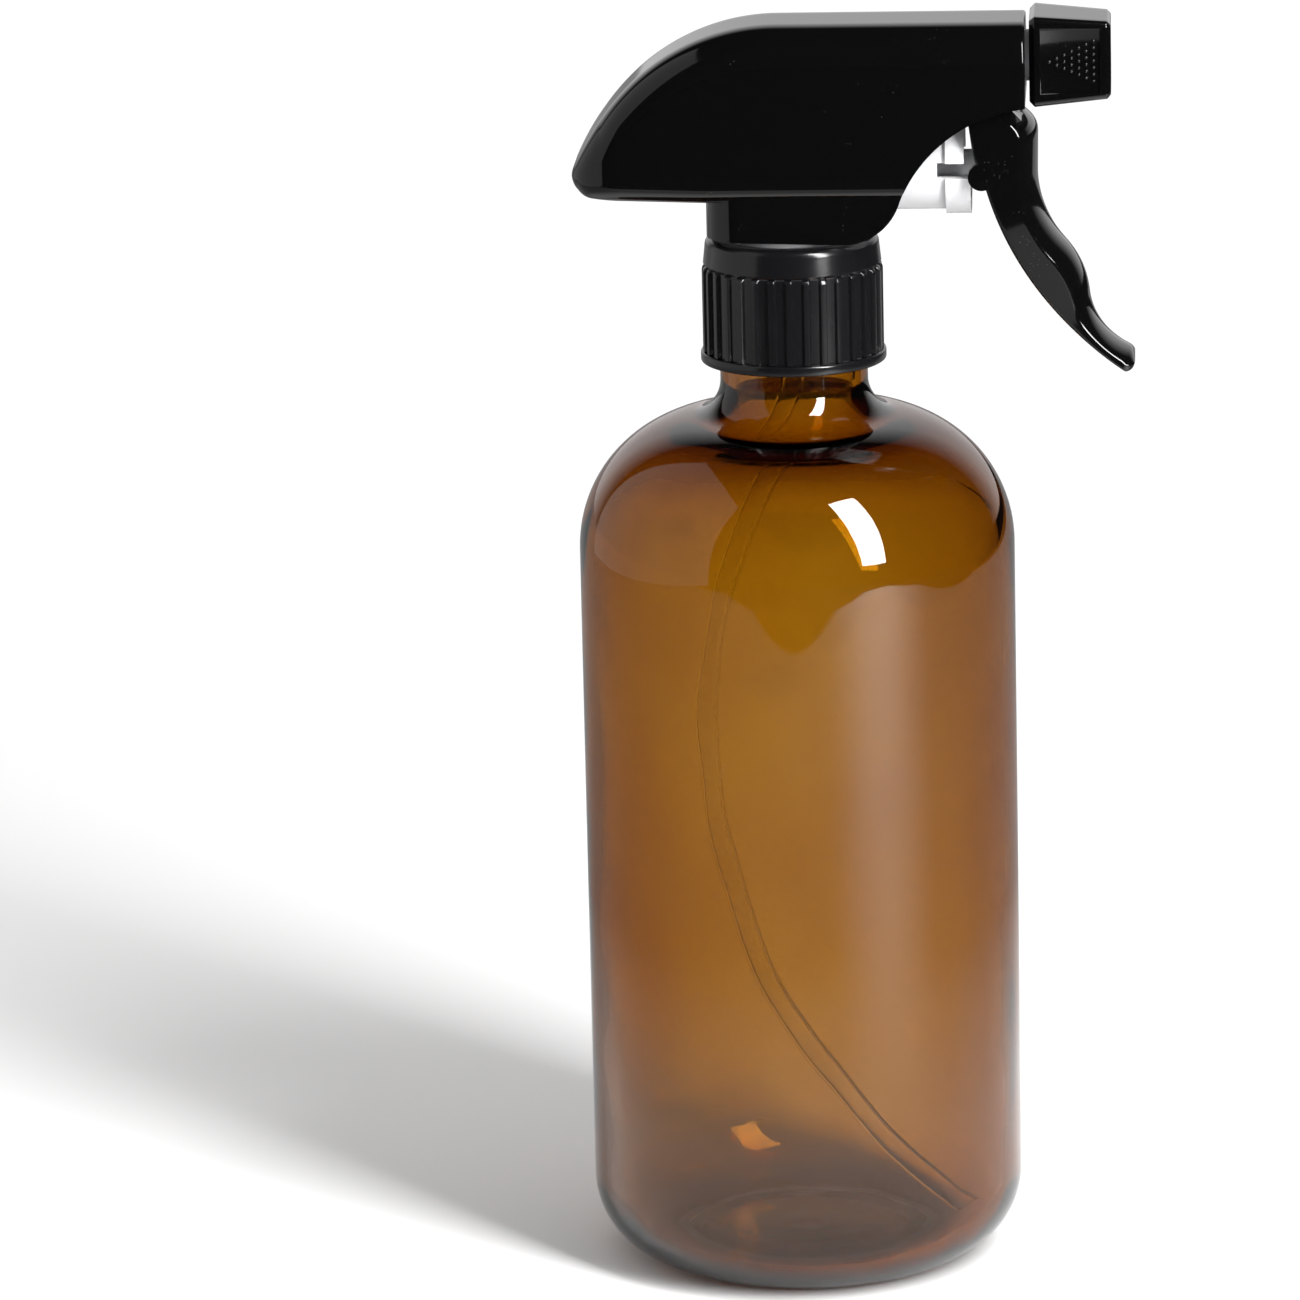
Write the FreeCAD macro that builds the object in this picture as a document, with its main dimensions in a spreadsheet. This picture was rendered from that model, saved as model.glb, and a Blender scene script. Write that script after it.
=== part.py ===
"""Trigger spray bottle: a round glass bottle with a screw-on pump head.

The frame stands on the bottle's base: +Z runs up the bottle's axis, +X is the way it sprays, millimetres.
Pieces of the bottle are drawn in that frame. Pieces of the head are drawn above the bottle's rim, and
each one's Placement lifts it to the rim, so a taller bottle carries the whole head up with it.
"""

import FreeCAD, Part
import math
import os
import Sketcher

Vector = FreeCAD.Vector
Rotation = FreeCAD.Rotation

# Driving dimensions, in millimetres unless a name says otherwise. Heights in the head are above the rim.
SIZES = {
    # glass bottle with a 28 mm screw finish
    "bottle_radius": 37.7,
    "bottle_wall": 2.6,
    "wall_height": 127.5,
    "heel_radius": 14.0,
    "shoulder_radius": 23.6,
    "neck_fillet": 6.2,
    "neck_radius": 12.75,
    "finish_height": 12.6,
    "bore_radius": 10.2,
    "rim_edge": 0.8,
    "floor_thickness": 3.4,
    "push_up": 1.6,
    "ring_width": 3.0,
    "thread_pitch": 4.233,
    "thread_height": 1.1,
    "thread_base": 2.0,
    "thread_crest": 1.0,
    "thread_turns": 1.25,
    "thread_start": -8.3,
    # screw collar
    "collar_bottom": -9.2,
    "collar_top": 12.5,
    "flange_reach": 1.0,
    "flange_height": 1.8,
    "collar_wall": 0.85,
    "rib_height": 0.6,
    "rib_width": 1.3,
    "rib_count": 32,
    "rib_top": 7.5,
    "rib_edge": 0.3,
    "band_height": 0.4,
    "rim_rounding": 1.3,
    "thread_clearance": 0.3,
    "collar_crest": 1.1,
    "collar_thread_width": 1.5,
    "ledge_thickness": 1.6,
    "ledge_hole": 11.6,
    "collar_upper_bore": 13.4,
    # gasket and valve stem
    "gasket_gap": 0.05,
    "gasket_thickness": 1.45,
    "gasket_bore": 10.4,
    "stem_flange_radius": 13.3,
    "stem_flange": 2.0,
    "swivel_gap": 0.2,
    "plug_radius": 9.9,
    "plug_wall": 0.9,
    "plug_depth": 3.0,
    "stem_radius": 3.6,
    "stem_bore": 1.4,
    "stem_top": 17.6,
    "seat_radius": 2.2,
    "seat_depth": 1.0,
    "socket_depth": 8.0,
    "socket_stop": 0.5,
    "tube_fit": 0.03,
    "stem_edge": 0.6,
    "plug_edge": 0.4,
    "vent_offset": 6.3,
    "vent_hole": 0.6,
    "vent_cap_radius": 1.9,
    "vent_cap": 0.6,
    "vent_cap_edge": 0.35,
    "vent_barb": 0.9,
    "vent_point": 0.8,
    # dip tube and valve balls
    "tube_radius": 2.0,
    "tube_bore": 1.4,
    "tube_end_gap": 1.2,
    "tube_bow": 16.5,
    "tube_lean": -3.0,
    "inlet_ball_radius": 2.0,
    "outlet_ball_radius": 1.8,
    "seat_gap": 0.03,
    # pump body
    "body_collar": 11.0,
    "body_collar_wall": 1.4,
    "body_bead": 12.4,
    "bead_height": 1.6,
    "bead_slope": 0.4,
    "body_neck": 9.0,
    "body_deck": 2.0,
    "deck_top": 11.5,
    "column_radius": 5.0,
    "column_skirt": 6.0,
    "slide_fit": 0.05,
    "ball_room": 2.5,
    "ball_room_top": 22.2,
    "stop_gap": 0.8,
    "stop_inside": 0.25,
    "stop_outside": 2.45,
    "stop_rise": 1.2,
    "duct_radius": 1.5,
    "shelf_bottom": 14.5,
    "shelf_thickness": 1.5,
    "shelf_front": 11.5,
    "shelf_corner": 5.5,
    "pump_axis": 24.9,
    "pump_radius": 8.0,
    "pump_bore": 6.5,
    "pump_back": 7.5,
    "pump_mouth": 31.0,
    "mouth_flange": 0.8,
    "mouth_length": 4.3,
    "mouth_step": 1.1,
    "port_radius": 1.0,
    "cross_slot": 2.6,
    "barrel_axis": 43.3,
    "barrel_radius": 4.4,
    "barrel_duct": 1.2,
    "barrel_end": 51.2,
    "barrel_back": 3.4,
    "valve_room": 2.4,
    "valve_seat": 41.5,
    "web_thickness": 1.8,
    "ear_length": 6.4,
    "ear_inside": 5.2,
    "ear_outside": 8.0,
    "ear_drop": 2.6,
    "bridge_gap": 0.6,
    "bridge_thickness": 2.5,
    "post_bead": 0.35,
    "post_bead_start": 44.6,
    "post_bead_width": 1.0,
    "bead_slack": 0.1,
    "bead_end_slack": 0.3,
    "ring_centre": 48.9,
    "ring_section": 0.56,
    "ring_groove_width": 1.5,
    "ring_groove_depth": 1.1,
    # piston, rod and springs
    "piston_back": 17.0,
    "piston_front": 24.0,
    "piston_face": 2.0,
    "piston_skirt": 6.15,
    "piston_inside": 5.2,
    "lip_width": 1.0,
    "rod_radius": 2.2,
    "rod_end": 34.3,
    "rod_edge": 0.8,
    "snap_radius": 1.5,
    "snap_barb": 0.4,
    "snap_length": 1.0,
    "snap_taper": 0.3,
    "crossbar_radius": 1.0,
    "crossbar_bite": 0.65,
    "crossbar_place": 32.9,
    "stroke": 6.2,
    "spring_radius": 4.4,
    "spring_wire": 0.9,
    "spring_turns": 7.0,
    "spring_gap": 0.15,
    "spring_slack": 0.1,
    "valve_spring_radius": 1.5,
    "valve_spring_wire": 0.35,
    "valve_spring_turns": 2.5,
    # trigger
    "pivot_place": 33.5,
    "pivot_height": 37.2,
    "pin_radius": 1.2,
    "pivot_boss": 3.2,
    "yoke_clearance": 0.3,
    "cheek_thickness": 1.4,
    "finger_width": 17.6,
    "tip_width": 14.6,
    "yoke_bottom": 19.0,
    "waist_height": 8.0,
    "bar_boss": 2.5,
    "bar_boss_height": 24.1,
    "bar_slot_clearance": 0.35,
    "bar_slot_depth": 0.9,
    "trigger_wall": 1.6,
    "tip_corner": 3.0,
    "shoulder_place": 39.9,
    "shoulder_height": 34.3,
    "brow_place": 42.3,
    "brow_height": 31.4,
    "grip_place": 42.4,
    "grip_height": 23.6,
    "grip_curve": 18.7,
    "ridge_top_place": 47.2,
    "ridge_top_height": 11.1,
    "ridge_curve": 15.5,
    "ridge_low_place": 51.1,
    "ridge_low_height": 2.3,
    "lower_curve": 12.2,
    "toe_place": 57.6,
    "toe_height": -7.3,
    "toe_curve": 1.75,
    "heel_place": 57.1,
    "heel_height": -10.7,
    "back_curve": 60.0,
    "back_place": 33.6,
    "back_height": 21.9,
    "cheek_back": 30.4,
    # nozzle
    "nozzle_back": 41.3,
    "nozzle_front": 55.0,
    "nozzle_back_half": 7.85,
    "nozzle_front_half": 6.65,
    "nozzle_edge": 0.8,
    "nozzle_fit": 0.06,
    "nozzle_floor": 51.5,
    "nozzle_mouth": 6.0,
    "nozzle_mouth_depth": 1.6,
    "nozzle_hole": 1.6,
    "insert_radius": 2.6,
    "insert_back": 52.8,
    "insert_front": 54.0,
    "insert_fit": 0.02,
    "orifice_radius": 0.4,
    "orifice_land": 0.3,
    "orifice_back_radius": 1.0,
    "orifice_front_radius": 1.2,
    "orifice_front_depth": 0.4,
    "dish_radius": 4.8,
    "spinner_back": 46.6,
    "spinner_front": 51.0,
    "flute_width": 1.0,
    "flute_depth": 0.8,
    "whirl_radius": 0.9,
    "whirl_depth": 0.5,
    "whirl_slot": 0.5,
    # shroud
    "shroud_clearance": 0.3,
    "shroud_wall": 1.2,
    "shroud_front": 40.0,
    "shroud_top": 50.0,
    "shroud_lip": 36.1,
    "crown_place": -2.0,
    "crown_curve": 36.0,
    "nape_place": -27.0,
    "nape_curve": 45.0,
    "tail_place": -36.9,
    "tail_curve": 3.6,
    "skirt_back": -14.35,
    "skirt_bottom": 13.5,
    "ledge_height": 20.0,
    "jaw_place": 9.2,
    "jaw_height": 12.85,
    "jaw_curve": 10.2,
    "throat_place": 19.0,
    "throat_height": 20.3,
    "throat_curve": 25.5,
    "plan_rounding": 9.0,
    "plan_tail": 37.6,
    "crown_rounding": 3.0,
    "hole_clearance": 1.0,
}

document = FreeCAD.newDocument("spray_bottle")
sheet = document.addObject("Spreadsheet::Sheet", "Sizes")
for row, (alias, number) in enumerate(SIZES.items(), start=1):
    sheet.set(f"A{row}", alias)
    sheet.set(f"B{row}", str(number))
    sheet.setAlias(f"B{row}", alias)
document.recompute()


class Size:
    """A number together with the sheet formula that gives it."""

    def __init__(self, value, formula):
        self.value = float(value)
        self.formula = formula

    def joined(self, other, sign, value):
        return Size(value, f"({self.formula} {sign} {other.formula})")

    def __add__(self, other):
        other = as_size(other)
        return self.joined(other, "+", self.value + other.value)

    def __radd__(self, other):
        return as_size(other) + self

    def __sub__(self, other):
        other = as_size(other)
        return self.joined(other, "-", self.value - other.value)

    def __rsub__(self, other):
        return as_size(other) - self

    def __mul__(self, other):
        other = as_size(other)
        return self.joined(other, "*", self.value * other.value)

    def __rmul__(self, other):
        return as_size(other) * self

    def __truediv__(self, other):
        other = as_size(other)
        return self.joined(other, "/", self.value / other.value)

    def __neg__(self):
        return Size(-self.value, f"(0 - {self.formula})")


def as_size(number):
    """A Size from a Size or a plain number."""
    if isinstance(number, Size):
        return number
    return Size(number, repr(float(number)))


def root(size):
    """The square root of a Size."""
    return Size(math.sqrt(size.value), f"sqrt({size.formula})")


class Cells:
    """Reads a sheet cell by its alias, as a Size."""

    def __getattr__(self, alias):
        return Size(SIZES[alias], f"Sizes.{alias}")


size = Cells()
nodes = []


def bind(item, path, value):
    """Tie one property of a document object to the sheet."""
    item.setExpression(path, as_size(value).formula)


def place(item, x=0, y=0, z=0):
    """Tie an object's position to the sheet."""
    bind(item, "Placement.Base.x", x)
    bind(item, "Placement.Base.y", y)
    bind(item, "Placement.Base.z", z)


# ---------------------------------------------------------------- sketches


class Corner:
    """One corner of an outline: its place, a rounding at it, and the bend of the edge that leaves it.

    A positive bend turns left along the way the outline is drawn, and a negative bend turns right.
    """

    def __init__(self, x, y, rounding=None, bend=None):
        self.x = as_size(x)
        self.y = as_size(y)
        self.rounding = None if rounding is None else as_size(rounding)
        self.bend = None if bend is None else as_size(bend)

    def point(self):
        return Vector(self.x.value, self.y.value, 0)


def arc_between(start, end, centre):
    """The arc of less than a half turn round centre, and whether it runs counter-clockwise from start."""
    first = start - centre
    last = end - centre
    leftward = first.cross(last).z > 0
    angles = [math.atan2(first.y, first.x), math.atan2(last.y, last.x)]
    if not leftward:
        angles.reverse()
    if angles[1] < angles[0]:
        angles[1] += 2 * math.pi
    circle = Part.Circle(centre, Vector(0, 0, 1), first.Length)
    return Part.ArcOfCircle(circle, angles[0], angles[1]), leftward


def bend_centre(start, end, bend):
    """The centre of the short arc of radius |bend| from start to end."""
    chord = end - start
    height = math.sqrt(max(bend * bend - chord.Length ** 2 / 4, 0.0))
    left = Vector(-chord.y, chord.x, 0).normalize()
    return (start + end) / 2 + left * math.copysign(height, bend)


def rounding_of(before, corner, after, radius):
    """Where a rounding starts and ends, and its centre."""
    back = (before - corner).normalize()
    ahead = (after - corner).normalize()
    half = back.getAngle(ahead) / 2
    reach = radius / math.tan(half)
    centre = corner + (back + ahead).normalize() * (radius / math.sin(half))
    return corner + back * reach, corner + ahead * reach, centre


def draw(body, plane, corners):
    """A closed sketch on one of the body's own planes, every corner tied to the sheet."""
    sketch = body.newObject("Sketcher::SketchObject", body.Name + "_outline")
    support = [item for item in body.Origin.OriginFeatures if item.Role == plane]
    sketch.AttachmentSupport = (support[0], [""])
    sketch.MapMode = "FlatFace"
    count = len(corners)
    points = [corner.point() for corner in corners]
    starts = list(points)
    ends = list(points)
    centres = {}
    for index, corner in enumerate(corners):
        if corner.rounding is not None:
            before = points[index - 1]
            after = points[(index + 1) % count]
            found = rounding_of(before, points[index], after, corner.rounding.value)
            ends[index], starts[index], centres[index] = found
    geometry = []
    links = []
    rules = []
    edge_ends = []
    for index, corner in enumerate(corners):
        start = starts[index]
        end = ends[(index + 1) % count]
        if corner.bend is None:
            geometry.append(Part.LineSegment(start, end))
            edge_ends.append((index, 1, 2))
        else:
            arc, leftward = arc_between(start, end, bend_centre(start, end, corner.bend.value))
            geometry.append(arc)
            edge_ends.append((index, 1, 2) if leftward else (index, 2, 1))
            radius = corner.bend if corner.bend.value > 0 else -corner.bend
            rules.append(("Radius", (index,), radius))
    for index, corner in enumerate(corners):
        edge, first, _ = edge_ends[index]
        previous, _, last = edge_ends[index - 1]
        if corner.rounding is None:
            links.append(Sketcher.Constraint("Coincident", previous, last, edge, first))
            held = (edge, first)
        else:
            arc, leftward = arc_between(ends[index], starts[index], centres[index])
            number = len(geometry)
            geometry.append(arc)
            into, out = (1, 2) if leftward else (2, 1)
            links.append(Sketcher.Constraint("Tangent", previous, last, number, into))
            links.append(Sketcher.Constraint("Tangent", number, out, edge, first))
            rules.append(("Radius", (number,), corner.rounding))
            held = (len(geometry), 1)
            geometry.append(Part.Point(points[index]))
            links.append(Sketcher.Constraint("PointOnObject", held[0], held[1], previous))
            links.append(Sketcher.Constraint("PointOnObject", held[0], held[1], edge))
        rules.append(("DistanceX", (-1, 1) + held, corner.x))
        rules.append(("DistanceY", (-1, 1) + held, corner.y))
    sketch.addGeometry(geometry, False)
    for number, item in enumerate(geometry):
        if isinstance(item, Part.Point):
            sketch.setConstruction(number, True)
    sketch.addConstraint(links)
    for kind, where, value in rules:
        number = sketch.addConstraint(Sketcher.Constraint(kind, *where, value.value))
        bind(sketch, f"Constraints[{number}]", value)
    return sketch


# ---------------------------------------------------------------- solids


def new_body(name):
    return document.addObject("PartDesign::Body", name)


def turned(name, corners, axis="V_Axis"):
    """A PartDesign body turned about an axis of its outline's plane (Z, or X with H_Axis)."""
    body = new_body(name)
    sketch = draw(body, "XZ_Plane", corners)
    turn = body.newObject("PartDesign::Revolution", name + "_turn")
    turn.Profile = sketch
    turn.ReferenceAxis = (sketch, [axis])
    turn.Angle = 360
    return body


def padded(name, plane, corners, length):
    """A PartDesign body padded the same distance each side of its outline's plane."""
    body = new_body(name)
    sketch = draw(body, plane, corners)
    pad = body.newObject("PartDesign::Pad", name + "_pad")
    pad.Profile = sketch
    pad.SideType = "Symmetric"
    bind(pad, "Length", length)
    return body


def rod(name, radius, length, start, axis):
    """A Part cylinder from start along an axis."""
    item = document.addObject("Part::Cylinder", name)
    bind(item, "Radius", radius)
    bind(item, "Height", length)
    item.Placement.Rotation = Rotation(Vector(0, 0, 1), axis)
    place(item, *start)
    return item


def block(name, low, high):
    """A Part box between two opposite corners."""
    item = document.addObject("Part::Box", name)
    for side, first, last in zip(("Length", "Width", "Height"), low, high):
        bind(item, side, as_size(last) - as_size(first))
    place(item, *low)
    return item


def fused(name, items):
    result = document.addObject("Part::MultiFuse", name)
    result.Shapes = items
    return result


def cut(name, base, tool):
    result = document.addObject("Part::Cut", name)
    result.Base = base
    result.Tool = tool
    return result


def shared(name, first, second):
    result = document.addObject("Part::Common", name)
    result.Base = first
    result.Tool = second
    return result


def solid(name, shape):
    """A Part feature that holds a shape made from the sheet's values."""
    item = document.addObject("Part::Feature", name)
    item.Shape = shape
    return item


def keep(item, label, x=0, z=0):
    """Label a finished piece and put it in its place."""
    item.Label = label
    place(item, x, 0, z)
    nodes.append(item)
    return item


def coil(radius, wire, turns, length):
    """A round wire wound about +X, its first turn's middle at x = 0 and its whole length as given."""
    run = (length - wire).value
    helix = Part.makeLongHelix(run / turns.value, run, radius.value)
    section = Part.Wire(Part.makeCircle(wire.value / 2, Vector(radius.value, 0, 0), Vector(0, 1, 0)))
    shape = Part.Wire(helix).makePipeShell([section], True, True)
    shape.rotate(Vector(0, 0, 0), Vector(0, 1, 0), 90)
    return shape


def thread(body, corners, pitch, turns, name):
    """A screw thread added to a body by winding an outline up its axis."""
    sketch = draw(body, "XZ_Plane", corners)
    wind = body.newObject("PartDesign::AdditiveHelix", name)
    wind.Profile = sketch
    wind.ReferenceAxis = (sketch, ["V_Axis"])
    wind.Mode = "pitch-turns-angle"
    bind(wind, "Pitch", pitch)
    bind(wind, "Turns", turns)
    return wind


# ---------------------------------------------------------------- widths that follow the pump

# The trigger's cheeks pass each side of the pump's mouth, and the shroud covers them both.
mouth_radius = size.pump_radius + size.mouth_flange
yoke_inside = mouth_radius + size.yoke_clearance
yoke_width = 2 * (yoke_inside + size.cheek_thickness)
crossbar_reach = yoke_inside + size.crossbar_bite
shroud_width = yoke_width + 2 * (size.shroud_clearance + size.shroud_wall)


# ---------------------------------------------------------------- glass bottle

ALONG_X = Vector(1, 0, 0)
ALONG_Y = Vector(0, 1, 0)
ALONG_Z = Vector(0, 0, 1)
BITE = 0.4  # how far a cutter or a joined piece runs on past the face that it meets

# The shoulder arc and the fillet under the neck touch on the line between their centres.
shoulder_centre = size.bottle_radius - size.shoulder_radius
fillet_centre = size.neck_radius + size.neck_fillet
centre_gap = size.shoulder_radius + size.neck_fillet
sideways = fillet_centre - shoulder_centre
upwards = root(centre_gap * centre_gap - sideways * sideways)
neck_start = size.wall_height + upwards
rim = neck_start + size.finish_height


def shoulder_touch(radius):
    """Where a shoulder arc of this radius meets the neck fillet."""
    share = radius / centre_gap
    return shoulder_centre + sideways * share, size.wall_height + upwards * share


def make_bottle():
    inner_radius = size.bottle_radius - size.bottle_wall
    inner_shoulder = size.shoulder_radius - size.bottle_wall
    outer_touch = shoulder_touch(size.shoulder_radius)
    inner_fillet = size.neck_fillet + size.bottle_wall
    inner_gap = inner_shoulder + inner_fillet
    inner_sideways = size.bore_radius + inner_fillet - shoulder_centre
    inner_upwards = root(inner_gap * inner_gap - inner_sideways * inner_sideways)
    bore_bend_top = size.wall_height + inner_upwards
    share = inner_shoulder / inner_gap
    inner_touch = (shoulder_centre + inner_sideways * share, size.wall_height + inner_upwards * share)
    ring_outside = size.bottle_radius - size.heel_radius
    ring_inside = ring_outside - size.ring_width
    corners = [
        Corner(0, size.push_up),
        Corner(ring_inside - size.ring_width, size.push_up),
        Corner(ring_inside, 0),
        Corner(size.bottle_radius, 0, rounding=size.heel_radius),
        Corner(size.bottle_radius, size.wall_height, bend=size.shoulder_radius),
        Corner(*outer_touch, bend=-size.neck_fillet),
        Corner(size.neck_radius, neck_start),
        Corner(size.neck_radius, rim, rounding=size.rim_edge),
        Corner(size.bore_radius, rim, rounding=size.rim_edge),
        Corner(size.bore_radius, bore_bend_top, bend=inner_fillet),
        Corner(*inner_touch, bend=-inner_shoulder),
        Corner(inner_radius, size.wall_height),
        Corner(inner_radius, size.floor_thickness, rounding=size.heel_radius - size.bottle_wall),
        Corner(0, size.floor_thickness + size.push_up),
    ]
    body = turned("bottle", corners)
    base = size.neck_radius - BITE
    crest = size.neck_radius + size.thread_height
    middle = rim + size.thread_start
    ridge = [
        Corner(base, middle - size.thread_base / 2),
        Corner(crest, middle - size.thread_crest / 2),
        Corner(crest, middle + size.thread_crest / 2),
        Corner(base, middle + size.thread_base / 2),
    ]
    thread(body, ridge, size.thread_pitch, size.thread_turns, "bottle_thread")
    return keep(body, "bottle")


# ---------------------------------------------------------------- screw collar, gasket and valve stem

stem_flange_bottom = size.gasket_gap + size.gasket_thickness
stem_flange_top = stem_flange_bottom + size.stem_flange
ledge_bottom = stem_flange_top + size.swivel_gap
ledge_top = ledge_bottom + size.ledge_thickness


def make_collar():
    bore = size.neck_radius + size.thread_height + size.thread_clearance
    outside = bore + size.collar_wall
    flange = outside + size.flange_reach
    flange_top = size.collar_bottom + size.flange_height
    corners = [
        Corner(bore, size.collar_bottom),
        Corner(flange, size.collar_bottom),
        Corner(flange, flange_top),
        Corner(outside, flange_top),
        Corner(outside, size.rib_top),
        Corner(outside + size.band_height, size.rib_top),
        Corner(outside, size.collar_top, rounding=size.rim_rounding),
        Corner(size.collar_upper_bore, size.collar_top),
        Corner(size.collar_upper_bore, ledge_top),
        Corner(size.ledge_hole, ledge_top),
        Corner(size.ledge_hole, ledge_bottom),
        Corner(bore, ledge_bottom),
    ]
    body = turned("closure", corners)
    crest = bore - size.collar_crest
    middle = size.thread_start + size.thread_pitch / 2
    half = size.collar_thread_width / 2
    ridge = [
        Corner(crest, middle - half / 2),
        Corner(bore + BITE, middle - half),
        Corner(bore + BITE, middle + half),
        Corner(crest, middle + half / 2),
    ]
    thread(body, ridge, size.thread_pitch, as_size(1), "closure_thread")
    half_rib = size.rib_width / 2
    rib_radius = outside + size.rib_height
    rib_outline = [
        Corner(outside - BITE, -half_rib),
        Corner(rib_radius, -half_rib, rounding=size.rib_edge),
        Corner(rib_radius, half_rib, rounding=size.rib_edge),
        Corner(outside - BITE, half_rib),
    ]
    sketch = draw(body, "XY_Plane", rib_outline)
    bind(sketch, "AttachmentOffset.Base.z", flange_top - BITE)
    rib = body.newObject("PartDesign::Pad", "closure_rib")
    rib.Profile = sketch
    bind(rib, "Length", size.rib_top - flange_top + 2 * BITE)
    ribs = body.newObject("PartDesign::PolarPattern", "closure_ribs")
    ribs.Originals = [rib]
    ribs.Axis = (sketch, ["N_Axis"])
    ribs.Angle = 360
    bind(ribs, "Occurrences", size.rib_count)
    body.Tip = ribs
    return keep(body, "closure", z=rim)


def make_gasket():
    corners = [
        Corner(size.gasket_bore, size.gasket_gap),
        Corner(size.stem_flange_radius, size.gasket_gap),
        Corner(size.stem_flange_radius, stem_flange_bottom),
        Corner(size.gasket_bore, stem_flange_bottom),
    ]
    return keep(turned("neck_gasket", corners), "neck_gasket", z=rim)


def make_stem():
    tube_hole = size.tube_radius + size.tube_fit
    plug_inside = size.plug_radius - size.plug_wall
    corners = [
        Corner(size.stem_bore, size.socket_stop),
        Corner(tube_hole, size.socket_stop),
        Corner(tube_hole, -size.socket_depth),
        Corner(size.stem_radius, -size.socket_depth, rounding=size.stem_edge),
        Corner(size.stem_radius, stem_flange_bottom),
        Corner(plug_inside, stem_flange_bottom),
        Corner(plug_inside, -size.plug_depth),
        Corner(size.plug_radius, -size.plug_depth, rounding=size.plug_edge),
        Corner(size.plug_radius, stem_flange_bottom),
        Corner(size.stem_flange_radius, stem_flange_bottom),
        Corner(size.stem_flange_radius, stem_flange_top),
        Corner(size.stem_radius, stem_flange_top),
        Corner(size.stem_radius, size.stem_top),
        Corner(size.seat_radius, size.stem_top),
        Corner(size.stem_bore, size.stem_top - size.seat_depth),
    ]
    body = turned("stem_turned", corners)
    depth = size.stem_flange + 2 * BITE
    start = (-size.vent_offset, 0, stem_flange_bottom - BITE)
    vent = rod("vent_hole", size.vent_hole, depth, start, ALONG_Z)
    return keep(cut("valve_stem", body, vent), "valve_stem", z=rim)


def make_vent_valve():
    shank = size.vent_hole - size.slide_fit
    corners = [
        Corner(0, stem_flange_bottom - size.vent_cap),
        Corner(size.vent_cap_radius, stem_flange_bottom - size.vent_cap_edge),
        Corner(size.vent_cap_radius, stem_flange_bottom),
        Corner(shank, stem_flange_bottom),
        Corner(shank, stem_flange_top),
        Corner(size.vent_barb, stem_flange_top),
        Corner(0, stem_flange_top + size.vent_point),
    ]
    return keep(turned("vent_valve", corners), "vent_valve", x=-size.vent_offset, z=rim)


# ---------------------------------------------------------------- dip tube and valve balls


def tube_route():
    """The dip tube's points from its socket to the heel of the bottle, in the bottle's frame."""
    end_height = size.floor_thickness.value + size.push_up.value + 2 * size.tube_end_gap.value
    inner_heel = size.heel_radius.value - size.bottle_wall.value
    heel_centre = size.bottle_radius.value - size.heel_radius.value
    rise = size.floor_thickness.value + inner_heel - end_height
    room = heel_centre + math.sqrt(inner_heel ** 2 - rise ** 2)
    reach = room - size.tube_radius.value - size.tube_end_gap.value
    top = rim.value
    span = top - end_height
    # (share of the way down, share of the bow to -X, share of the reach to +X)
    bends = [
        (0.09, 0.0, 0.0),
        (0.20, 0.42, 0.0),
        (0.33, 0.86, 0.0),
        (0.46, 1.03, 0.0),
        (0.60, 0.85, 0.0),
        (0.74, 0.47, 0.0),
        (0.85, 0.0, 0.15),
        (0.94, 0.0, 0.56),
        (1.0, 0.0, 0.98),
    ]
    points = [Vector(0, 0, top + size.socket_stop.value)]
    for down, bow, forward in bends:
        x = forward * reach - bow * size.tube_bow.value
        y = size.tube_lean.value * down * down
        points.append(Vector(x, y, top - down * span))
    return points


BEND_SHARE = 0.45  # how much of the shorter run beside a bend its arc takes


def tube_path(points):
    """Straight runs joined by tangent arcs, each as large as its two runs allow."""
    edges = []
    last = points[0]
    for before, corner, after in zip(points, points[1:], points[2:]):
        back = before - corner
        ahead = after - corner
        shorter = min(back.Length, ahead.Length)
        turn = math.pi - back.getAngle(ahead)
        reach = BEND_SHARE * shorter
        radius = reach / math.tan(turn / 2)
        print(f"dip tube bend radius {radius:.0f} mm")
        start = corner + back.normalize() * reach
        end = corner + ahead.normalize() * reach
        inward = (back + ahead).normalize()
        middle = corner + inward * (radius / math.cos(turn / 2) - radius)
        edges.append(Part.LineSegment(last, start).toShape())
        edges.append(Part.Arc(start, middle, end).toShape())
        last = end
    edges.append(Part.LineSegment(last, points[-1]).toShape())
    return Part.Wire(edges)


def make_dip_tube():
    points = tube_route()
    path = tube_path(points)
    way = points[1] - points[0]
    rings = [
        Part.Wire(Part.makeCircle(radius.value, points[0], way))
        for radius in (size.tube_radius, size.tube_bore)
    ]
    outer, inner = [path.makePipeShell([ring], True, False) for ring in rings]
    tube = outer.cut(inner)
    area = math.pi * (size.tube_radius.value ** 2 - size.tube_bore.value ** 2)
    print(f"dip tube length {path.Length:.1f} mm")
    print(f"dip tube volume {tube.Volume:.1f}, section x length {area * path.Length:.1f}")
    return keep(solid("dip_tube", tube), "dip_tube")


def make_inlet_ball():
    """The ball rests on the stem's cone, whose half angle is set by the seat's rise and depth."""
    rise = size.seat_radius - size.stem_bore
    slant = root(rise * rise + size.seat_depth * size.seat_depth)
    point_of_cone = size.stem_top - size.seat_depth - size.stem_bore * size.seat_depth / rise
    centre = point_of_cone + (size.inlet_ball_radius + size.seat_gap) * slant / rise
    ball = document.addObject("Part::Sphere", "inlet_ball")
    bind(ball, "Radius", size.inlet_ball_radius)
    return keep(ball, "inlet_ball", z=rim + centre)


outlet_centre = size.valve_seat + size.seat_gap + root(
    size.outlet_ball_radius * size.outlet_ball_radius - size.barrel_duct * size.barrel_duct
)


def make_outlet_ball():
    ball = document.addObject("Part::Sphere", "outlet_ball")
    bind(ball, "Radius", size.outlet_ball_radius)
    return keep(ball, "outlet_ball", x=outlet_centre, z=rim + size.barrel_axis)


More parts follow.
